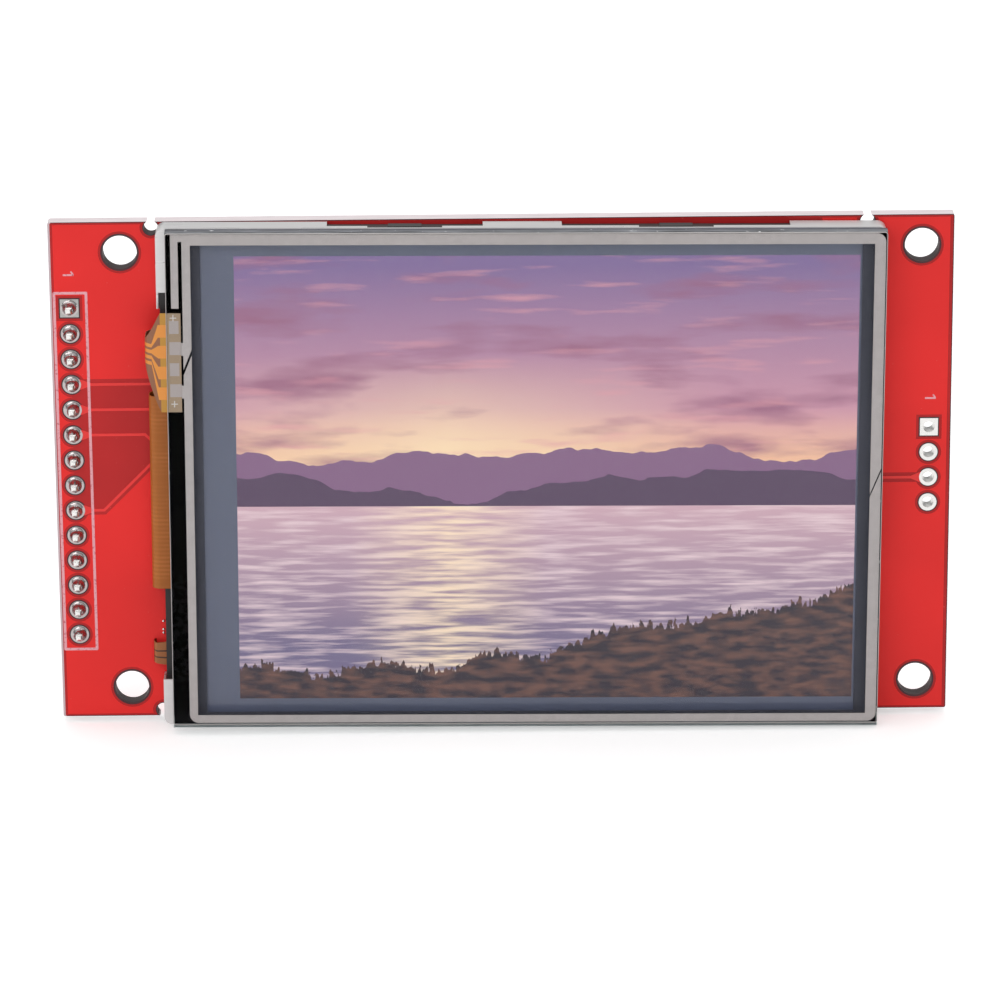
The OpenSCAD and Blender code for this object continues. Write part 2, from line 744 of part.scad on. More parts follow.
// Moulded chip body with its lower and upper halves drafted
module chip_body(w, d, h, lift) {
    draft = h * 0.12;
    intersection() {
        rotate([90, 0, 0]) linear_extrude(d, center = true)
            polygon([[-w / 2 + draft, lift], [w / 2 - draft, lift], [w / 2, lift + h / 2],
                     [w / 2 - draft, lift + h], [-w / 2 + draft, lift + h], [-w / 2, lift + h / 2]]);
        rotate([90, 0, 90]) linear_extrude(w, center = true)
            polygon([[-d / 2 + draft, lift], [d / 2 - draft, lift], [d / 2, lift + h / 2],
                     [d / 2 - draft, lift + h], [-d / 2 + draft, lift + h], [-d / 2, lift + h / 2]]);
    }
}

// Gull-wing lead that leaves a body's side at x = 0 and stands on the board
module gull_lead(width, reach, height, t) {
    rotate([90, 0, 0]) linear_extrude(width, center = true)
        polygon([[0, height], [reach * 0.35, height], [reach * 0.6, t], [reach, t],
                 [reach, 0], [reach * 0.45, 0], [reach * 0.22, height - t], [0, height - t]]);
}

tssop_w = 4.4;
tssop_l = 5;
tssop_h = 1;
tssop_pitch = 0.65;
tssop_at = [header_x + 21.2, -6, 0];
lead_lift = 0.1;
sot_w = 1.3;
sot_l = 2.9;
sot_h = 1;
sot_pitch = 0.95;
regulator_at = [header_x + 7.6, 12, 0];
transistor_at = [header_x + 7.6, -13, 0];

module touch_controller() {
    color([0.14, 0.14, 0.15]) on_back() translate(tssop_at) difference() {
        chip_body(tssop_w, tssop_l, tssop_h, lead_lift);
        translate([-tssop_w / 2 + 0.9, tssop_l / 2 - 0.9, lead_lift + tssop_h - 0.06]) cylinder(d = 0.6, h = 1);
    }
}

module touch_controller_leads() {
    color([0.80, 0.80, 0.80]) on_back() translate(tssop_at)
        for (side = [0, 180], i = [-3.5 : 1 : 3.5]) rotate(side)
            translate([tssop_w / 2, i * tssop_pitch, 0]) gull_lead(0.22, 1, lead_lift + tssop_h / 2 + 0.07, 0.14);
}

module sot_body() {
    chip_body(sot_w, sot_l, sot_h, lead_lift);
}

// Two leads on one side of the body, one on the other
module sot_leads() {
    for (lead = [[0, sot_pitch], [0, -sot_pitch], [180, 0]]) rotate(lead[0])
        translate([sot_w / 2, lead[1], 0]) gull_lead(0.42, 0.6, lead_lift + sot_h / 2 + 0.07, 0.14);
}

module regulator() {
    color([0.14, 0.14, 0.15]) on_back() translate(regulator_at) sot_body();
}

module regulator_leads() {
    color([0.80, 0.80, 0.80]) on_back() translate(regulator_at) sot_leads();
}

module backlight_transistor() {
    color([0.14, 0.14, 0.15]) on_back() translate(transistor_at) sot_body();
}

module backlight_transistor_leads() {
    color([0.80, 0.80, 0.80]) on_back() translate(transistor_at) sot_leads();
}

chip_l = 2;
chip_w = 1.25;
resistor_h = 0.5;
capacitor_h = 0.85;
cap_t = 0.35;
cap_wrap = 0.03;
// Place and turn of each chip component on the back
resistor_places = [for (i = [0 : 3]) [card_header_x - 4, (1.5 - i) * pin_pitch, 0],
                   for (i = [0 : 2]) [header_x + 6, (-1 - i) * pin_pitch, 0],
                   for (x = [0, -3]) [tssop_at[0] + x, tssop_at[1] + 9, 90]];
capacitor_places = [for (x = [-3.6, 3.6]) [regulator_at[0] + x, regulator_at[1], 90],
                    [tssop_at[0] - 6, tssop_at[1], 90], [tssop_at[0] + 3, tssop_at[1] + 9, 90]];

module chip_core(h) {
    translate([-chip_l / 2 + cap_wrap, -chip_w / 2, cap_wrap]) cube([chip_l - 2 * cap_wrap, chip_w, h]);
}

module chip_caps(h) {
    difference() {
        for (x = [-chip_l / 2, chip_l / 2 - cap_t])
            translate([x, -chip_w / 2 - cap_wrap, 0]) cube([cap_t, chip_w + 2 * cap_wrap, h + 2 * cap_wrap]);
        chip_core(h);
    }
}

module chips_at(places) {
    for (p = places) translate([p[0], p[1], 0]) rotate(p[2]) children();
}

module chip_resistors() {
    color([0.16, 0.16, 0.18]) on_back() chips_at(resistor_places) chip_core(resistor_h);
}

module chip_capacitors() {
    color([0.62, 0.50, 0.38]) on_back() chips_at(capacitor_places) chip_core(capacitor_h);
}

module chip_end_caps() {
    color([0.82, 0.82, 0.80]) on_back() {
        chips_at(resistor_places) chip_caps(resistor_h);
        chips_at(capacitor_places) chip_caps(capacitor_h);
    }
}

module upright() {
    rotate([90, 0, 0]) children();
}

upright() circuit_board();
upright() header_eyelets();
upright() card_header_eyelets();
upright() header_block();
upright() header_pins();
upright() header_solder();
upright() mounting_tapes();
upright() metal_frame();
upright() backlight_housing();
upright() reflector_sheet();
upright() light_guide();
upright() backlight_leds();
upright() backlight_flex();
upright() diffuser_sheet();
upright() lower_prism_sheet();
upright() upper_prism_sheet();
upright() rim_tape();
upright() rear_polarizer();
upright() transistor_glass();
upright() cell_seal();
upright() liquid_crystal();
upright() color_filter_glass();
upright() front_polarizer();
upright() driver_chip();
upright() display_flex();
upright() touch_tape();
upright() touch_glass();
upright() touch_electrodes();
upright() touch_bond();
upright() touch_film();
upright() touch_flex();
upright() card_socket_shell();
upright() card_socket_base();
upright() card_contacts();
upright() touch_controller();
upright() touch_controller_leads();
upright() regulator();
upright() regulator_leads();
upright() backlight_transistor();
upright() backlight_transistor_leads();
upright() chip_resistors();
upright() chip_capacitors();
upright() chip_end_caps();
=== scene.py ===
"""Looks of a colour TFT display module on its carrier board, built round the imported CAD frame.

The script is laid out as an add-on: sizes and colours are properties of the scene, each
piece or group of like pieces has an operator, and a panel in the sidebar lists them.
Shapes are drawn flat in millimetres, with the display up and z counted from the board's
back face, and BOARD or PANEL stands them upright in metres where the CAD frame has them.
"""
import json
import math
import random

import bmesh
import bpy
from bpy.props import FloatProperty, FloatVectorProperty, IntProperty, PointerProperty
from mathutils import Matrix, Vector


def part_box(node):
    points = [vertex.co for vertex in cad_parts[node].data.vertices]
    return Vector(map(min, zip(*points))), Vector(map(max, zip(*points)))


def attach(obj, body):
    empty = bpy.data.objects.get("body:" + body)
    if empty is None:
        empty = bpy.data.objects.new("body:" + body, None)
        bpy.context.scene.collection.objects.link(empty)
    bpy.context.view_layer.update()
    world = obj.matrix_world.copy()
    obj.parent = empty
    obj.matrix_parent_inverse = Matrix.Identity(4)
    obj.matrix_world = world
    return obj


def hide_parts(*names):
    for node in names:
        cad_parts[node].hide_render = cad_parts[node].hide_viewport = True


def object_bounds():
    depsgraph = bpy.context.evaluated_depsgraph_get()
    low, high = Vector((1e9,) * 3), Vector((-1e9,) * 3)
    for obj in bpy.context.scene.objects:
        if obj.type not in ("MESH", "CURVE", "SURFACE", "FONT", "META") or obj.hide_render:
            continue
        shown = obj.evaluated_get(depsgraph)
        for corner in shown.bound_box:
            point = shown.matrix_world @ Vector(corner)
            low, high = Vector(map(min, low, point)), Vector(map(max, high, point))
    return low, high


bl_info = {
    "name": "TFT display module",
    "version": (1, 0, 0),
    "blender": (4, 5, 0),
    "location": "View3D > Sidebar > Display module",
    "description": "Builds the finishes of a TFT display module round its CAD frame",
    "category": "Object",
}

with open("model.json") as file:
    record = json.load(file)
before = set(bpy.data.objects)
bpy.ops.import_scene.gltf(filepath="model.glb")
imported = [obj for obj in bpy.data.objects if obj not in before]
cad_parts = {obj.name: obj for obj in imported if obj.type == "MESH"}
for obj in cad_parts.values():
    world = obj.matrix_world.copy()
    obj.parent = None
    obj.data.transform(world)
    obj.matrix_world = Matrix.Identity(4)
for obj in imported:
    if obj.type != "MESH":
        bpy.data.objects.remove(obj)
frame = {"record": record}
CAD_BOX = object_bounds()
MM = 0.001


# ---------------------------------------------------------------- places from the frame

def box_mm(node):
    """Lowest and highest corner of a node in flat coordinates: along, up, out of the board."""
    low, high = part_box(node)
    return (Vector((low.x, low.z, -high.y)) / MM, Vector((high.x, high.z, -low.y)) / MM)


def panel_turn():
    """How far the panel is turned against the board, from the lower edge of its glass."""
    corners = [v.co for v in bpy.data.objects["touch_glass"].data.vertices]
    lowest = min(corners, key=lambda c: c.z)
    leftmost = min(corners, key=lambda c: c.x)
    return math.atan2(lowest.z - leftmost.z, lowest.x - leftmost.x)


UPRIGHT = Matrix(((1, 0, 0, 0), (0, 0, -1, 0), (0, 1, 0, 0), (0, 0, 0, 1)))
BOARD = UPRIGHT @ Matrix.Scale(MM, 4)
BOARD_LOW, BOARD_HIGH = box_mm("circuit_board")
BOARD_T = BOARD_HIGH.z
PANEL_LOW, PANEL_HIGH = box_mm("metal_frame")
PANEL_MIDDLE = (PANEL_LOW + PANEL_HIGH) / 2
TURN = panel_turn()
PANEL = (BOARD @ Matrix.Translation((PANEL_MIDDLE.x, PANEL_MIDDLE.y, 0))
         @ Matrix.Rotation(TURN, 4, "Z"))


def panel_box(node):
    """Corners of a node of the panel, in the panel's own turned coordinates."""
    back = PANEL.inverted()
    points = [back @ v.co for v in bpy.data.objects[node].data.vertices]
    low = Vector([min(p[i] for p in points) for i in range(3)])
    high = Vector([max(p[i] for p in points) for i in range(3)])
    return low, high


# ---------------------------------------------------------------- settings

def size(name, text, default):
    return FloatProperty(name=name, description=text, default=default, unit="LENGTH")


def shade(name, text, default):
    return FloatVectorProperty(name=name, description=text, default=default, size=3,
                               min=0, max=1, subtype="COLOR")


class StageSettings(bpy.types.PropertyGroup):
    """Camera, floor and lamps."""
    camera_place: FloatVectorProperty(
        name="Camera", description="Where the camera stands", size=3, unit="LENGTH",
        default=(-0.0063, -0.50648, 0.16136))
    camera_heading: FloatProperty(
        name="Heading", description="Turn of the camera about the vertical", unit="ROTATION",
        default=math.radians(0.467))
    camera_pitch: FloatProperty(
        name="Pitch", description="How far the camera looks down", unit="ROTATION",
        default=math.radians(18.051))
    camera_roll: FloatProperty(
        name="Roll", description="Turn of the camera about its line of sight", unit="ROTATION",
        default=math.radians(-0.43))
    lens: FloatProperty(name="Lens", description="Focal length", default=197.67, unit="CAMERA")
    floor_colour: shade("Floor", "Colour of the floor", (0.82, 0.82, 0.82))
    ambient: FloatProperty(name="Ambient", description="Strength of the even light", default=0.62)
    key_power: FloatProperty(name="Key lamp", description="Power of the large front lamp",
                             default=1.7, unit="POWER")
    top_power: FloatProperty(name="Top lamp", description="Power of the lamp overhead",
                             default=1.9, unit="POWER")


class BoardSettings(bpy.types.PropertyGroup):
    """Carrier board: mask, copper and print."""
    mask_bare: shade("Mask on laminate", "Red mask where no copper lies under it", (0.50, 0.020, 0.021))
    mask_copper: shade("Mask on copper", "Red mask over the copper plane", (0.88, 0.030, 0.028))
    track_colour: shade("Mask on tracks", "Red mask over a raised track", (0.90, 0.055, 0.052))
    laminate_edge: shade("Edge", "Sawn edge of the laminate", (0.86, 0.77, 0.79))
    ink: shade("Ink", "Printed outline", (0.88, 0.42, 0.47))
    mask_t: size("Mask", "Thickness of the mask", 0.015 * MM)
    copper_t: size("Copper", "Height of a masked track over the bare mask", 0.03 * MM)
    track_w: size("Track", "Width of a track", 0.26 * MM)
    gap_w: size("Gap", "Distance between a track and the copper plane", 0.36 * MM)
    pad_gap: size("Pad gap", "Ring round a pad that is free of copper", 0.355 * MM)


class HeaderSettings(bpy.types.PropertyGroup):
    """Pins and solder."""
    solder_colour: shade("Solder", "Bright solder", (0.50, 0.46, 0.46))
    tin_colour: shade("Tin", "Tinned pads and pins", (0.82, 0.81, 0.79))
    solder_height: size("Solder", "Height of a solder cone", 0.72 * MM)
    seed: IntProperty(name="Seed", description="Starts the small differences between joints", default=7)


class PanelSettings(bpy.types.PropertyGroup):
    """Display panel and its picture."""
    frame_colour: shade("Frame", "Tinned sheet of the frame", (0.74, 0.73, 0.73))
    polarizer_colour: shade("Polarizer", "Switched-off border of the panel", (0.150, 0.168, 0.258))
    picture_level: FloatProperty(name="Picture", description="Brightness of the lit picture", default=1.0)
    bevel: size("Edge", "Rounding of folded sheet edges", 0.05 * MM)


class TouchSettings(bpy.types.PropertyGroup):
    """Touch panel."""
    silver: shade("Silver", "Printed silver border", (0.54, 0.505, 0.50))
    tape: shade("Tape", "Black tape under the glass", (0.040, 0.038, 0.048))
    glass_edge: shade("Glass edge", "Cut edge of the glass", (0.16, 0.165, 0.18))
    gloss: FloatProperty(name="Gloss", description="Roughness of the glass", default=0.06, min=0, max=1)


class FlexSettings(bpy.types.PropertyGroup):
    """Flexible circuits."""
    track: shade("Tracks", "Film over copper tracks", (0.80, 0.31, 0.065))
    film: shade("Film", "Film without copper", (0.54, 0.275, 0.05))
    film_dark: shade("Folded film", "Film seen against its own back", (0.30, 0.13, 0.072))
    amber: shade("Amber", "Film of the panel's circuit", (0.42, 0.125, 0.018))
    columns: IntProperty(name="Columns", description="Faces across a circuit", default=24, min=2)
    arc_steps: IntProperty(name="Arc", description="Faces round a quarter of a fold", default=10, min=3)


GROUPS = {
    "tft_stage": StageSettings,
    "tft_board": BoardSettings,
    "tft_header": HeaderSettings,
    "tft_panel": PanelSettings,
    "tft_touch": TouchSettings,
    "tft_flex": FlexSettings,
}


# ---------------------------------------------------------------- material helpers

class Shader:
    """Short way to write a node tree that ends in one Principled shader."""

    def __init__(self, name, colour=(0.5, 0.5, 0.5), roughness=0.5, metallic=0.0, **sockets):
        self.material = bpy.data.materials.new(name)
        self.material.use_nodes = True
        self.tree = self.material.node_tree
        self.principled = self.tree.nodes["Principled BSDF"]
        self.output = self.tree.nodes["Material Output"]
        self.set("Base Color", (*colour, 1))
        self.set("Roughness", roughness)
        self.set("Metallic", metallic)
        for socket, value in sockets.items():
            self.set(socket.replace("_", " "), value)
        self.coordinates = self.add("ShaderNodeTexCoord")

    def set(self, socket, value):
        self.principled.inputs[socket].default_value = value

    def add(self, kind, **properties):
        node = self.tree.nodes.new(kind)
        for key, value in properties.items():
            setattr(node, key, value)
        return node

    def join(self, source, target):
        self.tree.links.new(source, target)

    def put(self, target, value):
        """Fills one input from a socket or from a value."""
        if isinstance(value, bpy.types.NodeSocket):
            self.join(value, target)
        else:
            target.default_value = value

    def feed(self, node, **inputs):
        """Fills inputs by name."""
        for key, value in inputs.items():
            self.put(node.inputs[key.replace("_", " ")], value)

    def noise(self, scale, detail=3, vector=None, stretch=None):
        """Noise in object space, scale in features per metre; stretch squeezes an axis."""
        vector = vector or self.coordinates.outputs["Object"]
        if stretch:
            mapping = self.add("ShaderNodeMapping")
            self.feed(mapping, Scale=stretch, Vector=vector)
            vector = mapping.outputs["Vector"]
        node = self.add("ShaderNodeTexNoise")
        self.feed(node, Vector=vector, Scale=scale, Detail=detail)
        return node.outputs["Fac"]

    def maths(self, operation, a, b=0.0, c=0.0):
        node = self.add("ShaderNodeMath", operation=operation)
        for target, value in zip(node.inputs, (a, b, c)):
            self.put(target, value)
        return node.outputs[0]

    def between(self, value, low, high, soft=0.0):
        """1 where value lies between low and high, with borders that are soft if asked."""
        if not soft:
            return self.maths("MULTIPLY", self.maths("GREATER_THAN", value, low),
                              self.maths("LESS_THAN", value, high))
        rise = self.ramp_to(value, low - soft, low + soft)
        fall = self.ramp_to(value, high - soft, high + soft)
        return self.maths("SUBTRACT", rise, fall)

    def ramp_to(self, value, start, end, low=0.0, high=1.0):
        """Maps value from start..end to low..high, held at both ends."""
        node = self.add("ShaderNodeMapRange")
        self.feed(node, Value=value, From_Min=start, From_Max=end, To_Min=low, To_Max=high)
        return node.outputs["Result"]

    def mix(self, factor, a, b):
        """Mixes two colours, given as sockets or as rgb."""
        node = self.add("ShaderNodeMix", data_type="RGBA")
        targets = (node.inputs[0], node.inputs[6], node.inputs[7])
        for target, value in zip(targets, (factor, a, b)):
            if not isinstance(value, (bpy.types.NodeSocket, int, float)):
                value = (*value, 1)
            self.put(target, value)
        return node.outputs[2]

    def paint(self, colour):
        self.join(colour, self.principled.inputs["Base Color"])

    def rough(self, low, high, source):
        self.join(self.ramp_to(source, 0.3, 0.7, low, high), self.principled.inputs["Roughness"])

    def bump(self, height, strength, distance=0.0001):
        node = self.add("ShaderNodeBump")
        self.feed(node, Height=height, Strength=strength, Distance=distance)
        self.join(node.outputs["Normal"], self.principled.inputs["Normal"])

    def axes(self, output="Object"):
        """The three coordinates of an output as separate sockets, in metres for Object."""
        split = self.add("ShaderNodeSeparateXYZ")
        self.join(self.coordinates.outputs[output], split.inputs[0])
        return split.outputs


def scaled(colour, factor):
    """A colour made lighter or darker."""
    return tuple(min(1, c * factor) for c in colour)


def varied(shader, colour, amount, scale, detail=3):
    """Paints a colour that drifts a little lighter and darker."""
    drift = shader.ramp_to(shader.noise(scale, detail), 0.3, 0.7)
    shader.paint(shader.mix(drift, scaled(colour, 1 - amount), scaled(colour, 1 + amount)))


def moulded(name, colour, roughness, scale, strength, depth=0.00005):
    """Moulded plastic or resin with a fine grain."""
    shader = Shader(name, colour, roughness)
    shader.bump(shader.noise(scale, 3), strength, depth)
    return shader.material


# ---------------------------------------------------------------- mesh helpers

SHARP = math.radians(30)


def dress(node, material):
    """Gives a CAD node a material; its mesh stays as it is."""
    mesh = bpy.data.objects[node].data
    mesh.materials.clear()
    mesh.materials.append(material)


def add_piece(name, mesh_data, materials, replaces=(), place=BOARD, crease=35):
    """Makes an object of a finished bmesh, stands it in place and lets it ride on the board."""
    bmesh.ops.transform(mesh_data, matrix=place, verts=mesh_data.verts)
    mesh = bpy.data.meshes.new(name)
    mesh_data.to_mesh(mesh)
    mesh_data.free()
    for material in materials:
        mesh.materials.append(material)
    mesh.shade_smooth()
    mesh.set_sharp_from_angle(angle=math.radians(crease))
    piece = bpy.data.objects.new(name, mesh)
    bpy.context.scene.collection.objects.link(piece)
    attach(piece, "root")
    if replaces:
        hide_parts(*replaces)
    return piece


def welded(node, shrink=0.0):
    """A copy of a CAD node's mesh in whole faces, drawn in by a hair so that no faces coincide."""
    copy = bmesh.new()
    copy.from_mesh(bpy.data.objects[node].data)
    bmesh.ops.remove_doubles(copy, verts=copy.verts, dist=1e-7)
    bmesh.ops.dissolve_limit(copy, angle_limit=math.radians(0.5), verts=copy.verts, edges=copy.edges)
    copy.normal_update()
    for vert in copy.verts:
        vert.co -= vert.normal * shrink
    return copy


def round_edges(mesh_data, edges, width, steps):
    """Rounds edges by width in metres."""
    bmesh.ops.bevel(mesh_data, geom=edges, offset=width, offset_type="OFFSET", segments=steps,
                    profile=0.5, affect="EDGES", material=-1, clamp_overlap=True)


def softened(name, node, width, materials, steps=2):
    """A copy of a CAD node with its sharp edges rounded by width in metres, which stands for it."""
    copy = welded(node)
    edges = [e for e in copy.edges if e.is_manifold and e.calc_face_angle() > SHARP]
    round_edges(copy, edges, width, steps)
    piece = add_piece(name, copy, materials, (node,), place=Matrix.Identity(4))
    piece.modifiers.new("even_shading", "WEIGHTED_NORMAL").keep_sharp = True


def rectangle(x0, x1, y0, y1, r=0.0, steps=6):
    """Outline of a rectangle, with rounded corners if r is given."""
    if r <= 0:
        return [(x0, y0), (x1, y0), (x1, y1), (x0, y1)]
    points = []
    centres = ((x1 - r, y0 + r), (x1 - r, y1 - r), (x0 + r, y1 - r), (x0 + r, y0 + r))
    for (x, y), start in zip(centres, (-90, 0, 90, 180)):
        points += arc(x, y, r, start, start + 90, steps)
    return points


def arc(x, y, r, start, end, steps):
    """Points along an arc, angles in degrees."""
    turns = [math.radians(start + (end - start) * i / steps) for i in range(steps + 1)]
    return [(x + r * math.cos(t), y + r * math.sin(t)) for t in turns]


def circle(x, y, r, steps=40):
    return arc(x, y, r, 0, 360 - 360 / steps, steps - 1)


def outline_edges(mesh_data, loops, z):
    """Closed chains of edges at height z, one for each outline."""
    edges = []
    for loop in loops:
        verts = [mesh_data.verts.new((x, y, z)) for x, y in loop]
        edges += [mesh_data.edges.new((a, b)) for a, b in zip(verts, verts[1:] + verts[:1])]
    return edges


def raise_faces(mesh_data, faces, height):
    """Turns flat faces into a solid of that height."""
    grown = bmesh.ops.extrude_face_region(mesh_data, geom=faces, use_keep_orig=True)["geom"]
    tops = [v for v in grown if isinstance(v, bmesh.types.BMVert)]
    bmesh.ops.translate(mesh_data, verts=tops, vec=(0, 0, height))
    bmesh.ops.recalc_face_normals(mesh_data, faces=mesh_data.faces)


def plate(mesh_data, loops, z, height):
    """Flat solid with the first loop as its outline and the others as holes."""
    layer = bmesh.new()
    edges = outline_edges(layer, loops, z)
    filled = bmesh.ops.triangle_fill(layer, use_beauty=True, use_dissolve=False, edges=edges)["geom"]
    faces = [g for g in filled if isinstance(g, bmesh.types.BMFace)]
    raise_faces(layer, faces, height)
    merge(mesh_data, layer)


def merge(target, source):
    """Adds one bmesh to another and frees it."""
    mesh = bpy.data.meshes.new("merge")
    source.to_mesh(mesh)
    source.free()
    target.from_mesh(mesh)
    bpy.data.meshes.remove(mesh)


def stroke(mesh_data, points, width, z, height):
    """Line of constant width along points, with mitred corners, as a flat solid."""
    left, right = [], []
    for i, point in enumerate(points):
        here = Vector(point)
        before = (here - Vector(points[i - 1])).normalized() if i else None
        after = (Vector(points[i + 1]) - here).normalized() if i + 1 < len(points) else None
        if before is None or after is None:
            along = after or before
            side = Vector((-along.y, along.x)) * width / 2
        else:
            normal = Vector((-before.y - after.y, before.x + after.x)).normalized()
            side = normal * width / 2 / max(0.3, normal.dot(Vector((-before.y, before.x))))
        left.append(tuple(here + side))
        right.append(tuple(here - side))
    plate(mesh_data, [right + left[::-1]], z, height)


def sweep(rows):
    """Sheet through rows of points, drawn from a flat grid; UV is (way along, share across)."""
    sheet = bmesh.new()
    layer = sheet.loops.layers.uv.new("flat")
    across = len(rows[0]) - 1
    bmesh.ops.create_grid(sheet, x_segments=across, y_segments=len(rows) - 1, size=1)
    lengths = [0.0]
    for previous, row in zip(rows, rows[1:]):
        lengths.append(lengths[-1] + (Vector(row[0]) - Vector(previous[0])).length)
    where = {}
    for vert in sheet.verts:
        column = round((vert.co.x + 1) / 2 * across)
        line = round((vert.co.y + 1) / 2 * (len(rows) - 1))
        where[vert] = (lengths[line], column / across)
        vert.co = rows[line][column]
    for face in sheet.faces:
        for loop in face.loops:
            loop[layer].uv = where[loop.vert]
    return sheet


def thicken(sheet, thickness):
    """Gives a swept sheet its thickness, the sheet being its outer face."""
    bmesh.ops.recalc_face_normals(sheet, faces=sheet.faces)
    bmesh.ops.solidify(sheet, geom=sheet.faces[:], thickness=thickness)
    bmesh.ops.recalc_face_normals(sheet, faces=sheet.faces)


def part_way(a, b, share):
    """The point that lies a share of the way from a to b."""
    return (a[0] + (b[0] - a[0]) * share, a[1] + (b[1] - a[1]) * share)


def fold_path(x_apex, z_top, z_bottom, r, x_top_end, x_bottom_end, steps):
    """Side view of a fold: along the top, round to the left and back underneath."""
    path = [(x_top_end, z_top)]
    path += arc(x_apex + r, z_top - r, r, 90, 180, steps)
    path += arc(x_apex + r, z_bottom + r, r, 180, 270, steps)
    path.append((x_bottom_end, z_bottom))
    return path


# ---------------------------------------------------------------- stage

def floor_material(colour):
    """Pale floor: white to the camera and to mirrors where it is lit, with the object's shadow."""
    shader = Shader("floor", colour, 0.9)
    path = shader.add("ShaderNodeLightPath")
    seen = shader.maths("MAXIMUM", path.outputs["Is Camera Ray"], path.outputs["Is Glossy Ray"])
    seen = shader.maths("MAXIMUM", seen, path.outputs["Is Transmission Ray"])
    shader.set("Emission Color", (1, 1, 1, 1))
    shader.join(shader.maths("MULTIPLY", seen, 0.42), shader.principled.inputs["Emission Strength"])
    shader.set("Specular IOR Level", 0.0)
    return shader.material


def studio_world(ambient):
    """Even white studio; mirrors see it bright overhead and greyer towards the viewer."""
    world = bpy.data.worlds.new("studio")
    world.use_nodes = True
    nodes, links = world.node_tree.nodes, world.node_tree.links
    nodes.clear()
    output = nodes.new("ShaderNodeOutputWorld")
    path = nodes.new("ShaderNodeLightPath")
    layers = []
    for strength in (ambient, 1.0):
        background = nodes.new("ShaderNodeBackground")
        background.inputs["Color"].default_value = (1, 1, 1, 1)
        background.inputs["Strength"].default_value = strength
        layers.append(background)
    mirror = nodes.new("ShaderNodeBackground")
    where = nodes.new("ShaderNodeTexCoord")
    split = nodes.new("ShaderNodeSeparateXYZ")
    grade = nodes.new("ShaderNodeMapRange")
    links.new(where.outputs["Generated"], split.inputs[0])
    links.new(split.outputs["Z"], grade.inputs["Value"])
    for socket, value in (("From Min", -0.1), ("From Max", 0.7), ("To Min", 0.14), ("To Max", 1.1)):
        grade.inputs[socket].default_value = value
    links.new(grade.outputs["Result"], mirror.inputs["Strength"])
    first = nodes.new("ShaderNodeMixShader")
    second = nodes.new("ShaderNodeMixShader")
    links.new(path.outputs["Is Glossy Ray"], first.inputs[0])
    links.new(layers[0].outputs[0], first.inputs[1])
    links.new(mirror.outputs[0], first.inputs[2])
    links.new(path.outputs["Is Camera Ray"], second.inputs[0])
    links.new(first.outputs[0], second.inputs[1])
    links.new(layers[1].outputs[0], second.inputs[2])
    links.new(second.outputs[0], output.inputs["Surface"])
    return world


def soft_lamp(name, place, target, width, power):
    """Square lamp that looks at a point."""
    data = bpy.data.lights.new(name, "AREA")
    data.shape = "SQUARE"
    data.size = width
    data.energy = power
    lamp = bpy.data.objects.new(name, data)
    lamp.location = place
    lamp.rotation_euler = (Vector(target) - Vector(place)).to_track_quat("-Z", "Y").to_euler()
    bpy.context.scene.collection.objects.link(lamp)


class TFT_OT_stage(bpy.types.Operator):
    """Set up the floor, the lamps and the camera"""
    bl_idname = "tft.stage"
    bl_label = "Stage"

    def execute(self, context):
        settings = context.scene.tft_stage
        floor = bmesh.new()
        bmesh.ops.create_grid(floor, x_segments=1, y_segments=1, size=1.5)
        bmesh.ops.translate(floor, verts=floor.verts, vec=(0, 0, CAD_BOX[0].z - 0.0001))
        mesh = bpy.data.meshes.new("floor")
        floor.to_mesh(mesh)
        floor.free()
        mesh.materials.append(floor_material(settings.floor_colour))
        ground = bpy.data.objects.new("floor", mesh)
        context.scene.collection.objects.link(ground)

        context.scene.world = studio_world(settings.ambient)
        soft_lamp("key_lamp", (-0.35, -0.75, 0.42), (0, 0, 0), 0.5, settings.key_power)
        soft_lamp("top_lamp", (0.0, 0.12, 0.7), (0, 0, 0), 0.6, settings.top_power)

        data = bpy.data.cameras.new("camera")
        data.sensor_width = 36
        data.lens = settings.lens
        data.clip_start, data.clip_end = 0.01, 10
        camera = bpy.data.objects.new("camera", data)
        turn = (Matrix.Rotation(-settings.camera_heading, 4, "Z")
                @ Matrix.Rotation(math.pi / 2 - settings.camera_pitch, 4, "X")
                @ Matrix.Rotation(settings.camera_roll, 4, "Z"))
        camera.matrix_world = Matrix.Translation(settings.camera_place) @ turn
        context.scene.collection.objects.link(camera)
        context.scene.camera = camera
        context.scene.view_settings.view_transform = "Standard"
        return {"FINISHED"}


# ---------------------------------------------------------------- carrier board

HEADER_LOW, HEADER_HIGH = box_mm("header_eyelets")
HEADER_X = (HEADER_LOW.x + HEADER_HIGH.x) / 2
HEADER_PAD = HEADER_HIGH.x - HEADER_LOW.x
CARD_LOW, CARD_HIGH = box_mm("card_header_eyelets")
CARD_X = (CARD_LOW.x + CARD_HIGH.x) / 2
CARD_PAD = CARD_HIGH.x - CARD_LOW.x
HEADER_PINS = 14
CARD_PINS = 4
PITCH = (HEADER_HIGH.y - HEADER_LOW.y - HEADER_PAD) / (HEADER_PINS - 1)


def pin_y(index, count=HEADER_PINS):
    return ((count - 1) / 2 - index) * PITCH


def screw_holes():
    """Centres and radius of the screw holes, from the record's mount."""
    mount = next(m for m in frame["record"]["mounts"] if m["name"] == "mounting_holes")
    dims = mount["dims"]
    half_x, half_y = dims["spacing_x_mm"] / 2, dims["spacing_y_mm"] / 2
    return [(x * half_x, y * half_y) for x in (-1, 1) for y in (-1, 1)], dims["hole_r_mm"]


SCREWS, SCREW_R = screw_holes()
NOTCHES = (-35.225, 33.025)
NOTCH_R = 0.7
NOTCH_INSET = 0.6
CORNER_R = 0.15

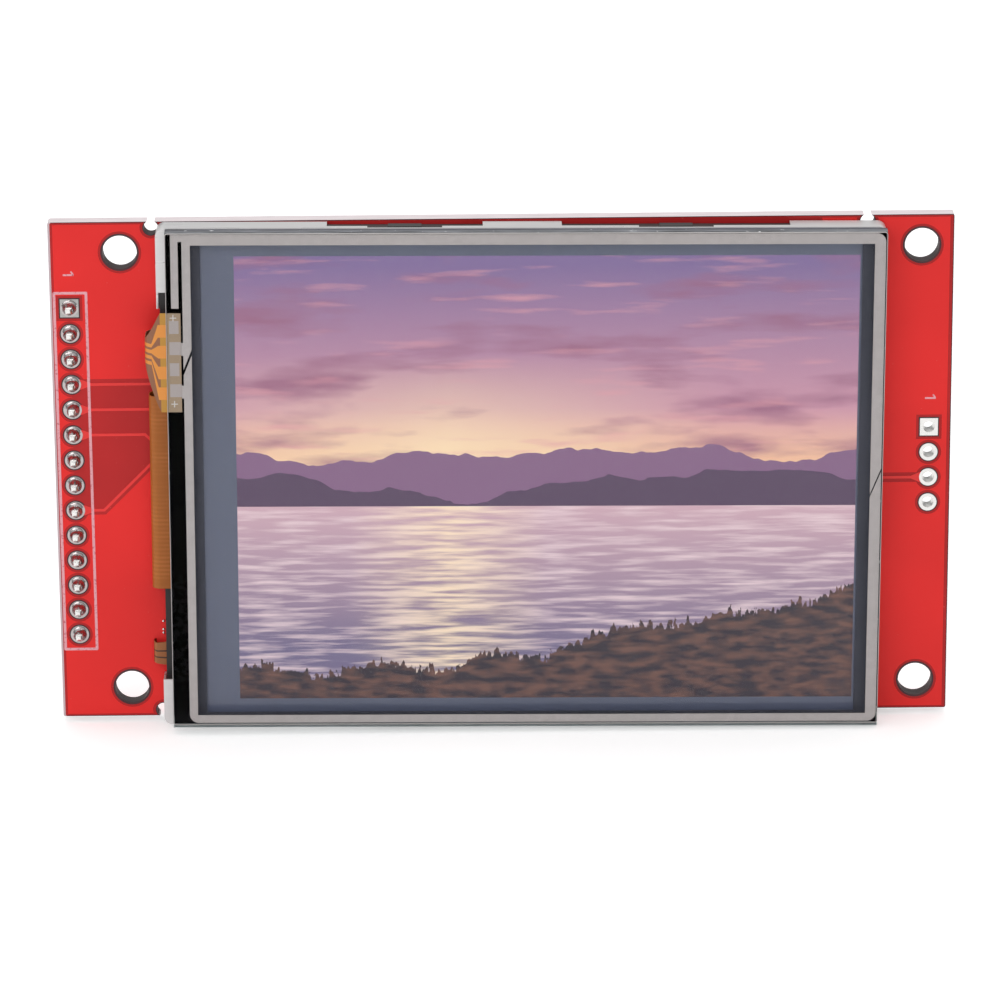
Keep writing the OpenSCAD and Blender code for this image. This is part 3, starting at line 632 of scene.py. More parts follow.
# How far the mask stays back from the board's edge and from what it leaves open
MASK_INSET = 0.08
MASK_LEFT_INSET = 0.2
MASK_NOTCH_GAP = 0.1
MASK_SCREW_GAP = 0.2
MASK_PAD_GAP = 0.12

# The same for the copper plane, how far it runs under the panel, and its height against a track
COPPER_INSET = 0.25
COPPER_LEFT_INSET = 0.45
COPPER_RIGHT_INSET = 0.38
COPPER_NOTCH_GAP = 0.35
COPPER_SCREW_GAP = 0.42
COPPER_UNDER_PANEL = 6
PLANE_SHARE = 0.6


def laminate_material(settings):
    """Bare laminate: brown faces with a pale rim, hole walls painted near black as the shade inside the
    holes, and a layered sawn edge.
    """
    shader = Shader("laminate", (0.12, 0.07, 0.05), 0.55, Specular_IOR_Level=0.2)
    normal = shader.axes("Normal")
    place = shader.axes()
    side = shader.maths("LESS_THAN", shader.maths("ABSOLUTE", normal["Y"]), 0.5)
    rim_w = 0.0003
    half_y = (BOARD_HIGH.y - BOARD_LOW.y) / 2 * MM - 0.00012
    left = shader.maths("LESS_THAN", place["X"], BOARD_LOW.x * MM + rim_w)
    right = shader.maths("GREATER_THAN", place["X"], BOARD_HIGH.x * MM - rim_w)
    ends = shader.maths("MAXIMUM", left, right)
    sides = shader.maths("GREATER_THAN", shader.maths("ABSOLUTE", place["Z"]), half_y)
    rim = shader.maths("MAXIMUM", ends, sides)
    streaks = shader.noise(900, 4, stretch=(0.35, 9, 0.35))
    layers = shader.ramp_to(streaks, 0.35, 0.65)
    edge = shader.mix(layers, scaled(settings.laminate_edge, 0.80), settings.laminate_edge)
    # Painted shade: hole and notch walls are painted near black, far darker than the sawn edge of the same
    # laminate.
    shaded_wall = shader.mix(layers, (0.040, 0.030, 0.032), (0.11, 0.080, 0.080))
    face = shader.mix(left, (0.085, 0.040, 0.045), (0.66, 0.52, 0.55))
    shader.paint(shader.mix(side, face, shader.mix(rim, shaded_wall, edge)))
    shader.bump(streaks, 0.5, 0.00008)
    return shader.material


def mask_material(name, colour, depth=0.10):
    """Glossy red lacquer with a slight drift of tone, dust specks and orange peel."""
    shader = Shader(name, colour, 0.38, Specular_IOR_Level=0.22)
    drift = shader.ramp_to(shader.noise(60, 2), 0.35, 0.65)
    body = shader.mix(drift, scaled(colour, 1 - depth), scaled(colour, 1 + depth))
    speck = shader.ramp_to(shader.noise(3600, 1), 0.775, 0.80)
    shader.paint(shader.mix(shader.maths("MULTIPLY", speck, 0.35), body, (0.85, 0.25, 0.22)))
    shader.bump(shader.noise(700, 2), 0.06, 0.0001)
    return shader.material


def ink_material(settings):
    """Thin screen-printed ink, rubbed through here and there."""
    shader = Shader("legend_ink", settings.ink, 0.6)
    wear = shader.ramp_to(shader.noise(3800, 3), 0.24, 0.44)
    shader.paint(shader.mix(wear, (0.55, 0.09, 0.11), tuple(settings.ink)))
    return shader.material


def board_holes(screw_gap, pad_gap):
    """Outlines of what mask or copper keeps clear of: screws, header pads, card header pads."""
    loops = [circle(x, y, SCREW_R + screw_gap) for x, y in SCREWS]
    for x, pad, count in ((HEADER_X, HEADER_PAD, HEADER_PINS), (CARD_X, CARD_PAD, CARD_PINS)):
        half = pad / 2 + pad_gap
        y = pin_y(0, count)
        loops.append(rectangle(x - half, x + half, y - half, y + half))
        loops += [circle(x, pin_y(i, count), half) for i in range(1, count)]
    return loops


def border(side, x_start, x_end, inset, notch_gap):
    """Way along the upper (1) or lower (-1) border of the board, round the notches in it."""
    y_edge = BOARD_HIGH.y - inset
    r = NOTCH_R + notch_gap
    lift = y_edge - (BOARD_HIGH.y - NOTCH_INSET)
    half = math.degrees(math.acos(lift / r))
    points = [(x_start, side * y_edge)]
    onward = 1 if x_end > x_start else -1
    for x in sorted(NOTCHES, reverse=onward < 0):
        if min(x_start, x_end) < x - r and x + r < max(x_start, x_end):
            entry = side * 90 + side * onward * half
            points += arc(x, side * (BOARD_HIGH.y - NOTCH_INSET), r, entry,
                          entry + side * onward * (360 - 2 * half), 22)
    return points + [(x_end, side * y_edge)]


def board_outline(inset, notch_gap, left_inset):
    """Outline of the board drawn in by inset, going round the notches at notch_gap."""
    x0, x1 = BOARD_LOW.x + left_inset, BOARD_HIGH.x - inset
    y1 = BOARD_HIGH.y - inset
    left, right, top = x0 + CORNER_R, x1 - CORNER_R, y1 - CORNER_R
    points = border(-1, left, right, inset, notch_gap)
    points += arc(right, -top, CORNER_R, -90, 0, 5)[1:-1]
    points += arc(right, top, CORNER_R, 0, 90, 5)[1:-1]
    points += border(1, right, left, inset, notch_gap)
    points += arc(left, top, CORNER_R, 90, 180, 5)[1:-1]
    points += arc(left, -top, CORNER_R, 180, 270, 5)[1:-1]
    return points


class TFT_OT_board(bpy.types.Operator):
    """Coat the carrier board with mask, copper plane, tracks and print"""
    bl_idname = "tft.board"
    bl_label = "Carrier board"

    def execute(self, context):
        settings = context.scene.tft_board
        dress("circuit_board", laminate_material(settings))
        bare = mask_material("mask_on_laminate", settings.mask_bare, 0.12)
        plane = mask_material("mask_on_copper", settings.mask_copper, 0.05)
        track = mask_material("mask_on_track", settings.track_colour, 0.03)
        self.front_mask(settings, bare)
        self.front_plane(settings, plane)
        self.front_tracks(settings, track)
        self.back(settings, plane, track)
        self.legend(settings)
        return {"FINISHED"}

    def front_mask(self, settings, material):
        """Lacquer over the whole front, open round the holes and pads."""
        mask = bmesh.new()
        loops = [board_outline(MASK_INSET, MASK_NOTCH_GAP, MASK_LEFT_INSET)]
        loops += board_holes(MASK_SCREW_GAP, MASK_PAD_GAP)
        plate(mask, loops, BOARD_T, settings.mask_t / MM)
        add_piece("front_mask", mask, [material])

    def front_plane(self, settings, material):
        """Copper plane under the mask, left out round pads, screws and tracks."""
        gap = settings.pad_gap / MM
        z = BOARD_T + settings.mask_t / MM
        height = settings.copper_t / MM * PLANE_SHARE
        holes = board_holes(COPPER_SCREW_GAP, gap)
        screws, pads = holes[:len(SCREWS)], holes[len(SCREWS):]
        x0, x1 = BOARD_LOW.x + COPPER_LEFT_INSET, BOARD_HIGH.x - COPPER_RIGHT_INSET
        hidden = PANEL_LOW.x + COPPER_UNDER_PANEL
        ring = HEADER_PAD / 2 + gap
        first, last = 3, 8
        over, under = 0.54, 0.44
        outline = border(1, x0, hidden, COPPER_INSET, COPPER_NOTCH_GAP)
        outline.append((hidden, pin_y(first) + over))
        start = math.degrees(math.asin(over / ring))
        for i in range(first, last + 1):
            begin = start if i == first else 90
            end = 360 - math.degrees(math.asin(under / ring)) if i == last else 270
            outline += arc(HEADER_X, pin_y(i), ring, begin, end, 24)
        bend = HEADER_X + 2.9
        rise = 4.5
        outline += [(bend, pin_y(last) - under), (bend + rise, pin_y(last) - under + rise),
                    (hidden, pin_y(last) - under + rise)]
        outline += border(-1, hidden, x0, COPPER_INSET, COPPER_NOTCH_GAP)
        plane = bmesh.new()
        passed = pads[first:last + 1]
        inside = [h for h in holes if h not in passed and max(p[0] for p in h) < hidden]
        plate(plane, [outline] + inside, z, height)
        add_piece("front_copper_left", plane, [material])

        plane = bmesh.new()
        start = PANEL_HIGH.x - COPPER_UNDER_PANEL
        y_track = pin_y(2, CARD_PINS)
        room = (settings.track_w / 2 + settings.gap_w) / MM
        ring = CARD_PAD / 2 + gap
        aside = math.degrees(math.asin(room / ring))
        outline = border(-1, start, x1, COPPER_INSET, COPPER_NOTCH_GAP)
        outline += border(1, x1, start, COPPER_INSET, COPPER_NOTCH_GAP)
        outline.append((start, y_track + room))
        outline += arc(CARD_X, y_track, ring, 180 - aside, aside - 180, 30)
        outline.append((start, y_track - room))
        others = [h for k, h in enumerate(pads[HEADER_PINS:]) if k != 2]
        near = [h for h in screws if min(p[0] for p in h) > start]
        plate(plane, [outline] + others + near, z, height)
        add_piece("front_copper_right", plane, [material])

    def front_tracks(self, settings, material):
        """Tracks from the header to the panel and from the card header to the panel."""
        tracks = bmesh.new()
        z = BOARD_T + settings.mask_t / MM
        height = settings.copper_t / MM
        width = settings.track_w / MM
        pad = HEADER_PAD / 2
        end = PANEL_LOW.x + 3
        for index, way in ((3, []), (4, []), (5, [(6.9, 0), (7.4, -0.5)]), (8, [(2.75, 0), (7.6, 4.85)])):
            y = pin_y(index)
            points = [(HEADER_X + pad * 0.5, y)] + [(HEADER_X + x, y + dy) for x, dy in way]
            points.append((end, points[-1][1]))
            stroke(tracks, points, width, z, height)
            drop = [(HEADER_X + pad * 0.75, y - pad * 0.62), (HEADER_X + pad + 0.95, y - width / 2),
                    (HEADER_X + pad + 0.95, y + width / 2), (HEADER_X + pad * 0.75, y + pad * 0.62)]
            plate(tracks, [drop], z, height * 0.9)
        y = pin_y(2, CARD_PINS)
        stroke(tracks, [(PANEL_HIGH.x - 3, y), (CARD_X - CARD_PAD * 0.3, y)], width, z, height)
        pad = CARD_PAD / 2
        drop = [(CARD_X - pad * 0.7, y - pad * 0.68), (CARD_X - pad * 0.7, y + pad * 0.68),
                (CARD_X - pad - 0.8, y + width / 2), (CARD_X - pad - 0.8, y - width / 2)]
        plate(tracks, [drop[::-1]], z, height * 0.9)
        add_piece("front_tracks", tracks, [material])

    def back(self, settings, plane, track):
        """Mask over copper, and the tracks, of the side that carries the components."""
        thickness = settings.mask_t / MM
        mask = bmesh.new()
        loops = [board_outline(MASK_INSET, MASK_NOTCH_GAP, MASK_INSET)]
        loops += board_holes(MASK_SCREW_GAP, MASK_PAD_GAP)
        plate(mask, loops, -thickness, thickness)
        add_piece("back_mask", mask, [plane])
        tracks = bmesh.new()
        height = settings.copper_t / MM
        z = -thickness - height
        width = settings.track_w / MM
        for index, way in BACK_TRACKS:
            y = pin_y(index)
            stroke(tracks, [(HEADER_X + 0.6, y)] + way, width, z, height)
        for way in LOOSE_TRACKS:
            stroke(tracks, way, width, z, height)
        for x, y in VIAS:
            plate(tracks, [circle(x, y, 0.32, 20), circle(x, y, 0.14, 12)], z, height)
        add_piece("back_tracks", tracks, [track])

    def legend(self, settings):
        """Printed outline round the header, pin-one marks and component outlines."""
        ink = ink_material(settings)
        front = bmesh.new()
        z = BOARD_T + settings.mask_t / MM + settings.copper_t / MM * PLANE_SHARE
        print_t = 0.02
        pen = 0.26 / 2
        middle = HEADER_X + 0.10
        half_x, half_y = 1.53, HEADER_PINS * PITCH / 2 + 0.24
        outer = rectangle(middle - half_x - pen, middle + half_x + pen, -half_y - pen, half_y + pen, 0.12, 3)
        inner = rectangle(middle - half_x + pen, middle + half_x - pen, -half_y + pen, half_y - pen)
        plate(front, [outer, inner], z, print_t)
        for x, y in ((HEADER_X, pin_y(0) + 3.3), (CARD_X + 0.1, pin_y(0, CARD_PINS) + 2.9)):
            self.figure_one(front, x, y, z, print_t)
        add_piece("front_legend", front, [ink])
        back = bmesh.new()
        z = -settings.mask_t / MM - print_t
        for node in ("touch_controller", "regulator", "backlight_transistor"):
            low, high = box_mm(node)
            outlines = [rectangle(low.x - grow, high.x + grow, low.y - grow, high.y + grow)
                        for grow in (0.35, 0.20)]
            plate(back, outlines, z, print_t)
        add_piece("back_legend", back, [ink])

    def figure_one(self, target, x, y, z, height):
        """A plain figure 1, turned a quarter to the right, beside the first pin."""
        half, pen = 0.52, 0.09
        figure = [(x - half, y - pen), (x + half, y - pen), (x + half, y + pen), (x + half - 0.22, y + 0.40),
                  (x + half - 0.34, y + 0.32), (x + half - 0.20, y + pen), (x - half, y + pen)]
        plate(target, [figure], z, height)


# Tracks on the back: header pin and the corners of its way, or a way of its own
BACK_TRACKS = (
    (0, [(-39.5, 16.51), (-36.5, 13.5)]),
    (5, [(-33.0, 3.81), (-27.5, -1.7), (-25.0, -4.0)]),
    (6, [(-34.0, 1.27), (-28.5, -4.2), (-24.9, -4.7)]),
    (9, [(-30.0, -6.35), (-29.0, -5.35), (-24.9, -5.35)]),
    (10, [(-30.5, -8.89), (-27.8, -6.2), (-24.9, -6.0)]),
    (11, [(-31.0, -11.43), (-26.5, -7.0), (-24.9, -6.65)]),
    (12, [(-38.5, -13.97), (-36.6, -13.0)]),
    (13, [(-28.0, -16.51), (-22.0, -22.5), (2.0, -22.5)]),
)
LOOSE_TRACKS = (
    [(-19.0, -4.0), (-12.0, 3.0), (-12.0, 16.0)],
    [(-19.0, -4.65), (-10.8, 3.5), (-10.8, 16.0)],
    [(-19.0, -5.3), (-9.6, 4.1), (-9.6, 16.0)],
    [(-19.0, -5.95), (-8.4, 4.6), (-8.4, 16.0)],
    [(34.2, 3.81), (33.4, 3.81), (33.4, 7.5), (26.0, 7.5)],
    [(34.2, 1.27), (32.9, 1.27), (32.9, 6.9), (26.0, 6.9)],
    [(-35.0, 10.5), (-35.0, 6.0), (-30.0, 1.0)],
)
VIAS = ((-12.0, 16.0), (-10.8, 16.0), (-9.6, 16.0), (-8.4, 16.0), (26.0, 7.5), (26.0, 6.9 - 1.2),
        (-30.0, 1.0), (-25.0, 8.5), (-16.0, 10.0), (-5.0, -8.0), (-2.0, 20.0), (12.0, 17.0),
        (20.0, 21.0), (30.0, 14.0), (36.5, 12.0), (36.0, -12.0), (-20.0, 20.5), (-30.0, 20.0),
        (-30.5, -20.0), (-14.0, -18.0), (-6.0, -18.0))


# ---------------------------------------------------------------- header and pads

def metal(name, colour, roughness, grain=0.0, scale=900):
    """Bare metal with a little unevenness in tone and gloss."""
    shader = Shader(name, colour, roughness, 1.0)
    mottled = shader.noise(scale, 3)
    shader.paint(shader.mix(shader.ramp_to(mottled, 0.3, 0.7), scaled(colour, 0.86), colour))
    shader.rough(max(0.05, roughness - 0.07), roughness + 0.10, mottled)
    if grain:
        shader.bump(shader.noise(scale * 2, 3), grain, 0.00005)
    return shader.material


class TFT_OT_header(bpy.types.Operator):
    """Build the solder joints and finish the pins, the pads and the header block"""
    bl_idname = "tft.header"
    bl_label = "Headers"

    def execute(self, context):
        settings = context.scene.tft_header
        tin = metal("tinned_copper", settings.tin_colour, 0.28, 0.25)
        solder = metal("solder", settings.solder_colour, 0.14, 0.5, 1800)
        pin = metal("pin_metal", settings.tin_colour, 0.22, 0.15)
        # Painted reflection: the header's pads take the tin colour at 0.55, darker than the card header's
        # pads, as the dark surroundings they mirror.
        dimmed_tin = metal("tin_painted_dark", scaled(settings.tin_colour, 0.55), 0.35, 0.3)
        softened("header_eyelets_tinned", "header_eyelets", 0.02 * MM, [dimmed_tin])
        softened("card_header_eyelets_tinned", "card_header_eyelets", 0.02 * MM, [tin])
        softened("pins", "header_pins", 0.025 * MM, [pin])
        self.joints(settings, solder)
        block = moulded("header_plastic", (0.018, 0.018, 0.020), 0.42, 1500, 0.12)
        softened("pin_block", "header_block", 0.06 * MM, [block])
        return {"FINISHED"}

    def joints(self, settings, material):
        """Solder drawn up the pins, each a little different, lathed and pushed about."""
        chance = random.Random(settings.seed)
        joints = bmesh.new()
        ground = box_mm("header_solder")[0].z
        foot = HEADER_PAD / 2 - 0.05
        neck = 0.36
        steps = 9
        for i in range(HEADER_PINS):
            height = settings.solder_height / MM * chance.uniform(0.92, 1.06)
            joint = bmesh.new()
            profile = []
            for k in range(steps + 1):
                t = k / steps
                r = foot + (neck - foot) * t ** 0.62
                profile.append(joint.verts.new((r, 0, height * t ** 1.5)))
            profile.append(joint.verts.new((0.0, 0, height * 1.02)))
            edges = [joint.edges.new(pair) for pair in zip(profile, profile[1:])]
            bmesh.ops.spin(joint, geom=profile + edges, cent=(0, 0, 0), axis=(0, 0, 1),
                           dvec=(0, 0, 0), angle=math.tau, steps=36, use_merge=True,
                           use_normal_flip=False, use_duplicate=False)
            bmesh.ops.remove_doubles(joint, verts=joint.verts, dist=1e-4)
            self.push(joint, chance, height)
            bmesh.ops.recalc_face_normals(joint, faces=joint.faces)
            bmesh.ops.translate(joint, verts=joint.verts, vec=(HEADER_X, pin_y(i), ground))
            merge(joints, joint)
        add_piece("solder_joints", joints, [material], ("header_solder",), crease=60)

    def push(self, joint, chance, height):
        """Leans and dents one joint without moving its foot."""
        lean = Vector((chance.uniform(-0.09, 0.09), chance.uniform(-0.09, 0.09), 0))
        turn = chance.uniform(0, math.tau)
        for vert in joint.verts:
            t = max(0.0, min(1.0, vert.co.z / height))
            angle = math.atan2(vert.co.y, vert.co.x) + turn
            belly = math.sin(math.pi * t)
            wave = 1 + 0.05 * math.sin(2 * angle) * belly + 0.03 * math.sin(5 * angle) * t * (1 - t)
            vert.co.x *= wave
            vert.co.y *= wave
            vert.co += lean * belly * 0.6


# ---------------------------------------------------------------- display panel

def sheet_metal(name, colour, roughness):
    """Tinned sheet with faint rolling lines along its length."""
    shader = Shader(name, colour, roughness, 0.45)
    lines = shader.noise(500, 4, stretch=(0.12, 1, 3))
    shader.paint(shader.mix(shader.ramp_to(lines, 0.3, 0.7), scaled(colour, 0.93), colour))
    shader.rough(roughness - 0.06, roughness + 0.08, lines)
    return shader.material


def ridge(shader, u, scale, seed, base, height):
    """Height of a hill line over the picture's width."""
    combine = shader.add("ShaderNodeCombineXYZ")
    shader.join(shader.maths("MULTIPLY", u, scale), combine.inputs[0])
    combine.inputs[1].default_value = seed
    profile = shader.noise(1.0, 5, vector=combine.outputs[0])
    return shader.ramp_to(profile, 0.25, 0.75, base - height / 2, base + height / 2)


def picture_material(level):
    """Lit picture: a made-up evening valley with clouds, two hill lines, a lake and a near bank."""
    shader = Shader("picture", (0.02, 0.02, 0.02), 0.25)
    uv = shader.coordinates.outputs["UV"]
    u, v = shader.axes("UV")[:2]
    shore = 0.44
    # sky, from the glow over the hills up to dusk
    sky = shader.mix(shader.ramp_to(v, 0.50, 0.66), (0.93, 0.56, 0.30), (0.62, 0.30, 0.38))
    sky = shader.mix(shader.ramp_to(v, 0.62, 0.98), sky, (0.20, 0.13, 0.30))
    away = shader.maths("ABSOLUTE", shader.maths("SUBTRACT", u, 0.34))
    glow = shader.maths("MULTIPLY", shader.ramp_to(away, 0.0, 0.45, 1, 0),
                        shader.ramp_to(v, 0.52, 0.78, 1, 0))
    sky = shader.mix(shader.maths("MULTIPLY", glow, 0.85), sky, (1.0, 0.80, 0.50))
    clouds = shader.noise(3.2, 6, vector=uv, stretch=(1.0, 3.4, 1))
    sky = shader.mix(shader.ramp_to(clouds, 0.50, 0.66, 0, 0.85), sky, (0.30, 0.11, 0.20))
    wisps = shader.noise(7.0, 5, vector=uv, stretch=(0.8, 5.0, 1))
    sky = shader.mix(shader.ramp_to(wisps, 0.56, 0.72, 0, 0.55), sky, (0.72, 0.32, 0.36))
    # lake, the sky's colours upside down and broken by ripples
    water = shader.mix(shader.ramp_to(v, 0.12, shore), (0.16, 0.13, 0.24), (0.60, 0.38, 0.45))
    ripples = shader.noise(9.0, 5, vector=uv, stretch=(1.0, 9.0, 1))
    water = shader.mix(shader.ramp_to(ripples, 0.45, 0.68, 0, 0.8), water, (0.80, 0.62, 0.66))
    water = shader.mix(shader.maths("MULTIPLY", shader.ramp_to(away, 0.0, 0.16, 0.75, 0),
                                    shader.ramp_to(ripples, 0.35, 0.6)), water, (1.0, 0.78, 0.52))
    above = shader.maths("GREATER_THAN", v, shore)
    scene = shader.mix(above, water, sky)
    # far and middle hills
    for scale, seed, base, height, colour in ((3.1, 2.0, 0.56, 0.16, (0.22, 0.11, 0.22)),
                                              (4.4, 7.5, 0.49, 0.12, (0.085, 0.045, 0.10))):
        below = shader.maths("LESS_THAN", v, ridge(shader, u, scale, seed, base, height))
        scene = shader.mix(shader.maths("MULTIPLY", below, above), scene, colour)
    # near bank, rising to the right, with tussocks
    bank = shader.maths("ADD", ridge(shader, u, 5.5, 11.0, 0.07, 0.12),
                        shader.ramp_to(u, 0.35, 1.0, 0, 0.17))
    tufts = shader.noise(60.0, 3, vector=uv, stretch=(2.2, 0.5, 1))
    edge = shader.maths("ADD", bank, shader.ramp_to(tufts, 0.3, 0.7, -0.012, 0.02))
    turf = shader.noise(26.0, 6, vector=uv, stretch=(1, 2.2, 1))
    ground = shader.mix(shader.ramp_to(turf, 0.4, 0.65), (0.022, 0.014, 0.026), (0.14, 0.062, 0.050))
    scene = shader.mix(shader.maths("LESS_THAN", v, edge), scene, ground)
    shader.join(scene, shader.principled.inputs["Emission Color"])
    shader.set("Emission Strength", level)
    return shader.material


# Pieces inside the panel: colour and roughness
FILMS = {
    "reflector_sheet": ((0.90, 0.90, 0.90), 0.4),
    "light_guide": ((0.80, 0.86, 0.88), 0.1),
    "backlight_leds": ((0.86, 0.78, 0.34), 0.4),
    "diffuser_sheet": ((0.86, 0.87, 0.88), 0.5),
    "lower_prism_sheet": ((0.78, 0.81, 0.85), 0.3),
    "upper_prism_sheet": ((0.76, 0.79, 0.84), 0.3),
    "rim_tape": ((0.02, 0.02, 0.02), 0.5),
    "rear_polarizer": ((0.07, 0.08, 0.12), 0.2),
    "transistor_glass": ((0.30, 0.36, 0.36), 0.08),
    "cell_seal": ((0.55, 0.48, 0.30), 0.5),
    "liquid_crystal": ((0.10, 0.09, 0.16), 0.3),
    "color_filter_glass": ((0.26, 0.31, 0.34), 0.08),
    "driver_chip": ((0.08, 0.08, 0.10), 0.15),
    "mounting_tapes": ((0.80, 0.80, 0.78), 0.8),
}


class TFT_OT_panel(bpy.types.Operator):
    """Finish the panel's frame, housing and film stack"""
    bl_idname = "tft.panel"
    bl_label = "Display panel"

    def execute(self, context):
        settings = context.scene.tft_panel
        steel = sheet_metal("frame_steel", settings.frame_colour, 0.30)
        softened("panel_frame", "metal_frame", settings.bevel, [steel], steps=3)
        housing = moulded("housing_black", (0.020, 0.018, 0.018), 0.5, 1200, 0.1)
        softened("panel_housing", "backlight_housing", 0.04 * MM, [housing])
        for node, (colour, roughness) in FILMS.items():
            shader = Shader(node, colour, roughness)
            varied(shader, colour, 0.06, 400)
            dress(node, shader.material)
        film = Shader("polarizer", settings.polarizer_colour, 0.22, Coat_Weight=0.4, Coat_Roughness=0.08)
        varied(film, tuple(settings.polarizer_colour), 0.05, 30, 2)
        dress("front_polarizer", film.material)
        return {"FINISHED"}


class TFT_OT_picture(bpy.types.Operator):
    """Lay the lit picture over the panel's switched layer"""
    bl_idname = "tft.picture"
    bl_label = "Picture"

    def execute(self, context):
        low, high = panel_box("liquid_crystal")
        top = panel_box("front_polarizer")[1].z
        sheet = bmesh.new()
        lift = 0.01
        # seen from above, a layer this deep under the polarizer shows that much higher
        rise = (top - high.z) * math.tan(context.scene.tft_stage.camera_pitch)
        low.y += rise
        high.y += rise
        corners = [sheet.verts.new((x, y, top + lift)) for x, y in
                   ((low.x, low.y), (high.x, low.y), (high.x, high.y), (low.x, high.y))]
        face = sheet.faces.new(corners)
        layer = sheet.loops.layers.uv.new("picture")
        for loop, uv in zip(face.loops, ((0, 0), (1, 0), (1, 1), (0, 1))):
            loop[layer].uv = uv
        add_piece("picture", sheet, [picture_material(context.scene.tft_panel.picture_level)],
                  place=PANEL)
        return {"FINISHED"}


# ---------------------------------------------------------------- touch panel

def clear_material(name, tint, mirror=0.0, gloss=0.05):
    """Clear sheet: what lies behind shows through, with a faint mirror on its surface."""
    shader = Shader(name, tint, gloss)
    shader.tree.nodes.remove(shader.principled)
    through = shader.add("ShaderNodeBsdfTransparent")
    shader.feed(through, Color=(*tint, 1))
    last = through
    if mirror:
        glossy = shader.add("ShaderNodeBsdfGlossy")
        shader.feed(glossy, Roughness=gloss)
        facing = shader.add("ShaderNodeLayerWeight")
        shader.feed(facing, Blend=0.12)
        last = shader.add("ShaderNodeMixShader")
        shader.join(shader.maths("MULTIPLY", facing.outputs["Fresnel"], mirror), last.inputs[0])
        shader.join(through.outputs[0], last.inputs[1])
        shader.join(glossy.outputs[0], last.inputs[2])
    shader.join(last.outputs[0], shader.output.inputs["Surface"])
    return shader.material


def glass_edge_material(colour):
    """Cut edge of the glass: dull grey with streaks and small painted glints, painted pale below as the
    reflection of the floor.
    """
    shader = Shader("glass_edge", colour, 0.4, Specular_IOR_Level=0.2)
    streaks = shader.noise(260, 5, stretch=(1, 6, 1))
    body = shader.mix(shader.ramp_to(streaks, 0.35, 0.65), scaled(colour, 0.55), scaled(colour, 1.35))
    # Painted glints: small pale spots on the edge stand in for light glinting off it.
    painted_glints = shader.ramp_to(shader.noise(1400, 2), 0.68, 0.73)
    body = shader.mix(painted_glints, body, (0.75, 0.76, 0.78))
    # Painted reflection: the lowest 1.5 mm of the edge is painted pale as the floor it mirrors.
    below = shader.maths("LESS_THAN", shader.axes()["Z"], (PANEL_LOW.y + 1.5) * MM)
    pale = shader.mix(shader.ramp_to(streaks, 0.3, 0.7), (0.50, 0.60, 0.60), (0.72, 0.78, 0.78))
    shader.paint(shader.mix(below, body, pale))
    return shader.material


def tape_material(colour):
    """Black tape seen through the glass: greyer inside the silver, mottled where unwetted."""
    shader = Shader("black_tape", colour, 0.5, Specular_IOR_Level=0.15)
    place = shader.axes()
    mottle = shader.ramp_to(shader.noise(2300, 4), 0.44, 0.56)
    patch_low, patch_high, patch_w = 20.5, 9.5, 2.6
    tall = shader.between(place["Z"], (PANEL_MIDDLE.y - patch_low) * MM,
                          (PANEL_MIDDLE.y - patch_high) * MM, 0.0016)
    wide = shader.maths("LESS_THAN", place["X"], (PANEL_LOW.x + patch_w) * MM)
    mottled = shader.mix(mottle, colour, (0.105, 0.10, 0.125))
    body = shader.mix(shader.maths("MULTIPLY", tall, wide), colour, mottled)
    low, high = panel_box("touch_electrodes")
    silver_left, silver_right = 1.9, 0.5
    inside = shader.between(place["X"], (PANEL_MIDDLE.x + low.x + silver_left) * MM,
                            (PANEL_MIDDLE.x + high.x - silver_right) * MM)
    clouding = shader.ramp_to(shader.noise(80, 2), 0.3, 0.7)
    inner = shader.mix(clouding, (0.085, 0.086, 0.112), (0.105, 0.106, 0.138))
    shader.paint(shader.mix(inside, body, inner))
    return shader.material


class TFT_OT_touch_panel(bpy.types.Operator):
    """Build the clear sheets of the touch panel and finish its silver and its tape"""
    bl_idname = "tft.touch_panel"
    bl_label = "Touch panel"

    def execute(self, context):
        settings = context.scene.tft_touch
        dress("touch_tape", tape_material(settings.tape))
        silver = Shader("silver_ink", settings.silver, 0.6, Specular_IOR_Level=0.2)
        varied(silver, tuple(settings.silver), 0.04, 1500, 3)
        softened("silver_border", "touch_electrodes", 0.01 * MM, [silver.material], steps=1)
        edge = glass_edge_material(tuple(settings.glass_edge))
        self.sheet("glass_sheet", "touch_glass", clear_material("clear_glass", (0.99, 0.995, 0.993)),
                   edge, "touch_glass", 0.06)
        glue = clear_material("clear_glue", (0.995, 0.995, 0.99))
        self.sheet("glue_ring", "touch_bond", glue, glue, "clear_glue", 0)
        rim = Shader("film_edge", (0.50, 0.47, 0.46), 0.3)
        film = clear_material("clear_film", (0.99, 0.99, 0.99), 0.5, settings.gloss)
        self.sheet("film_sheet", "touch_film", film, rim.material, "touch_film", 0.05)
        return {"FINISHED"}

    def sheet(self, name, node, clear, edge, slot, width):
        """Clear sheet of a node's size whose cut sides have a finish of their own."""
        copy = welded(node, 0.006 * MM)
        rims = [e for e in copy.edges if e.calc_face_angle(0) > math.radians(60)
                and any(abs(f.normal.y) > 0.9 for f in e.link_faces)]
        if width:
            round_edges(copy, rims, width * MM, 1)
        for face in copy.faces:
            face.material_index = 0 if abs(face.normal.y) > 0.9 else 1
        add_piece(name, copy, [clear, edge], (node,), place=Matrix.Identity(4), crease=20)


# ---------------------------------------------------------------- flexible circuits

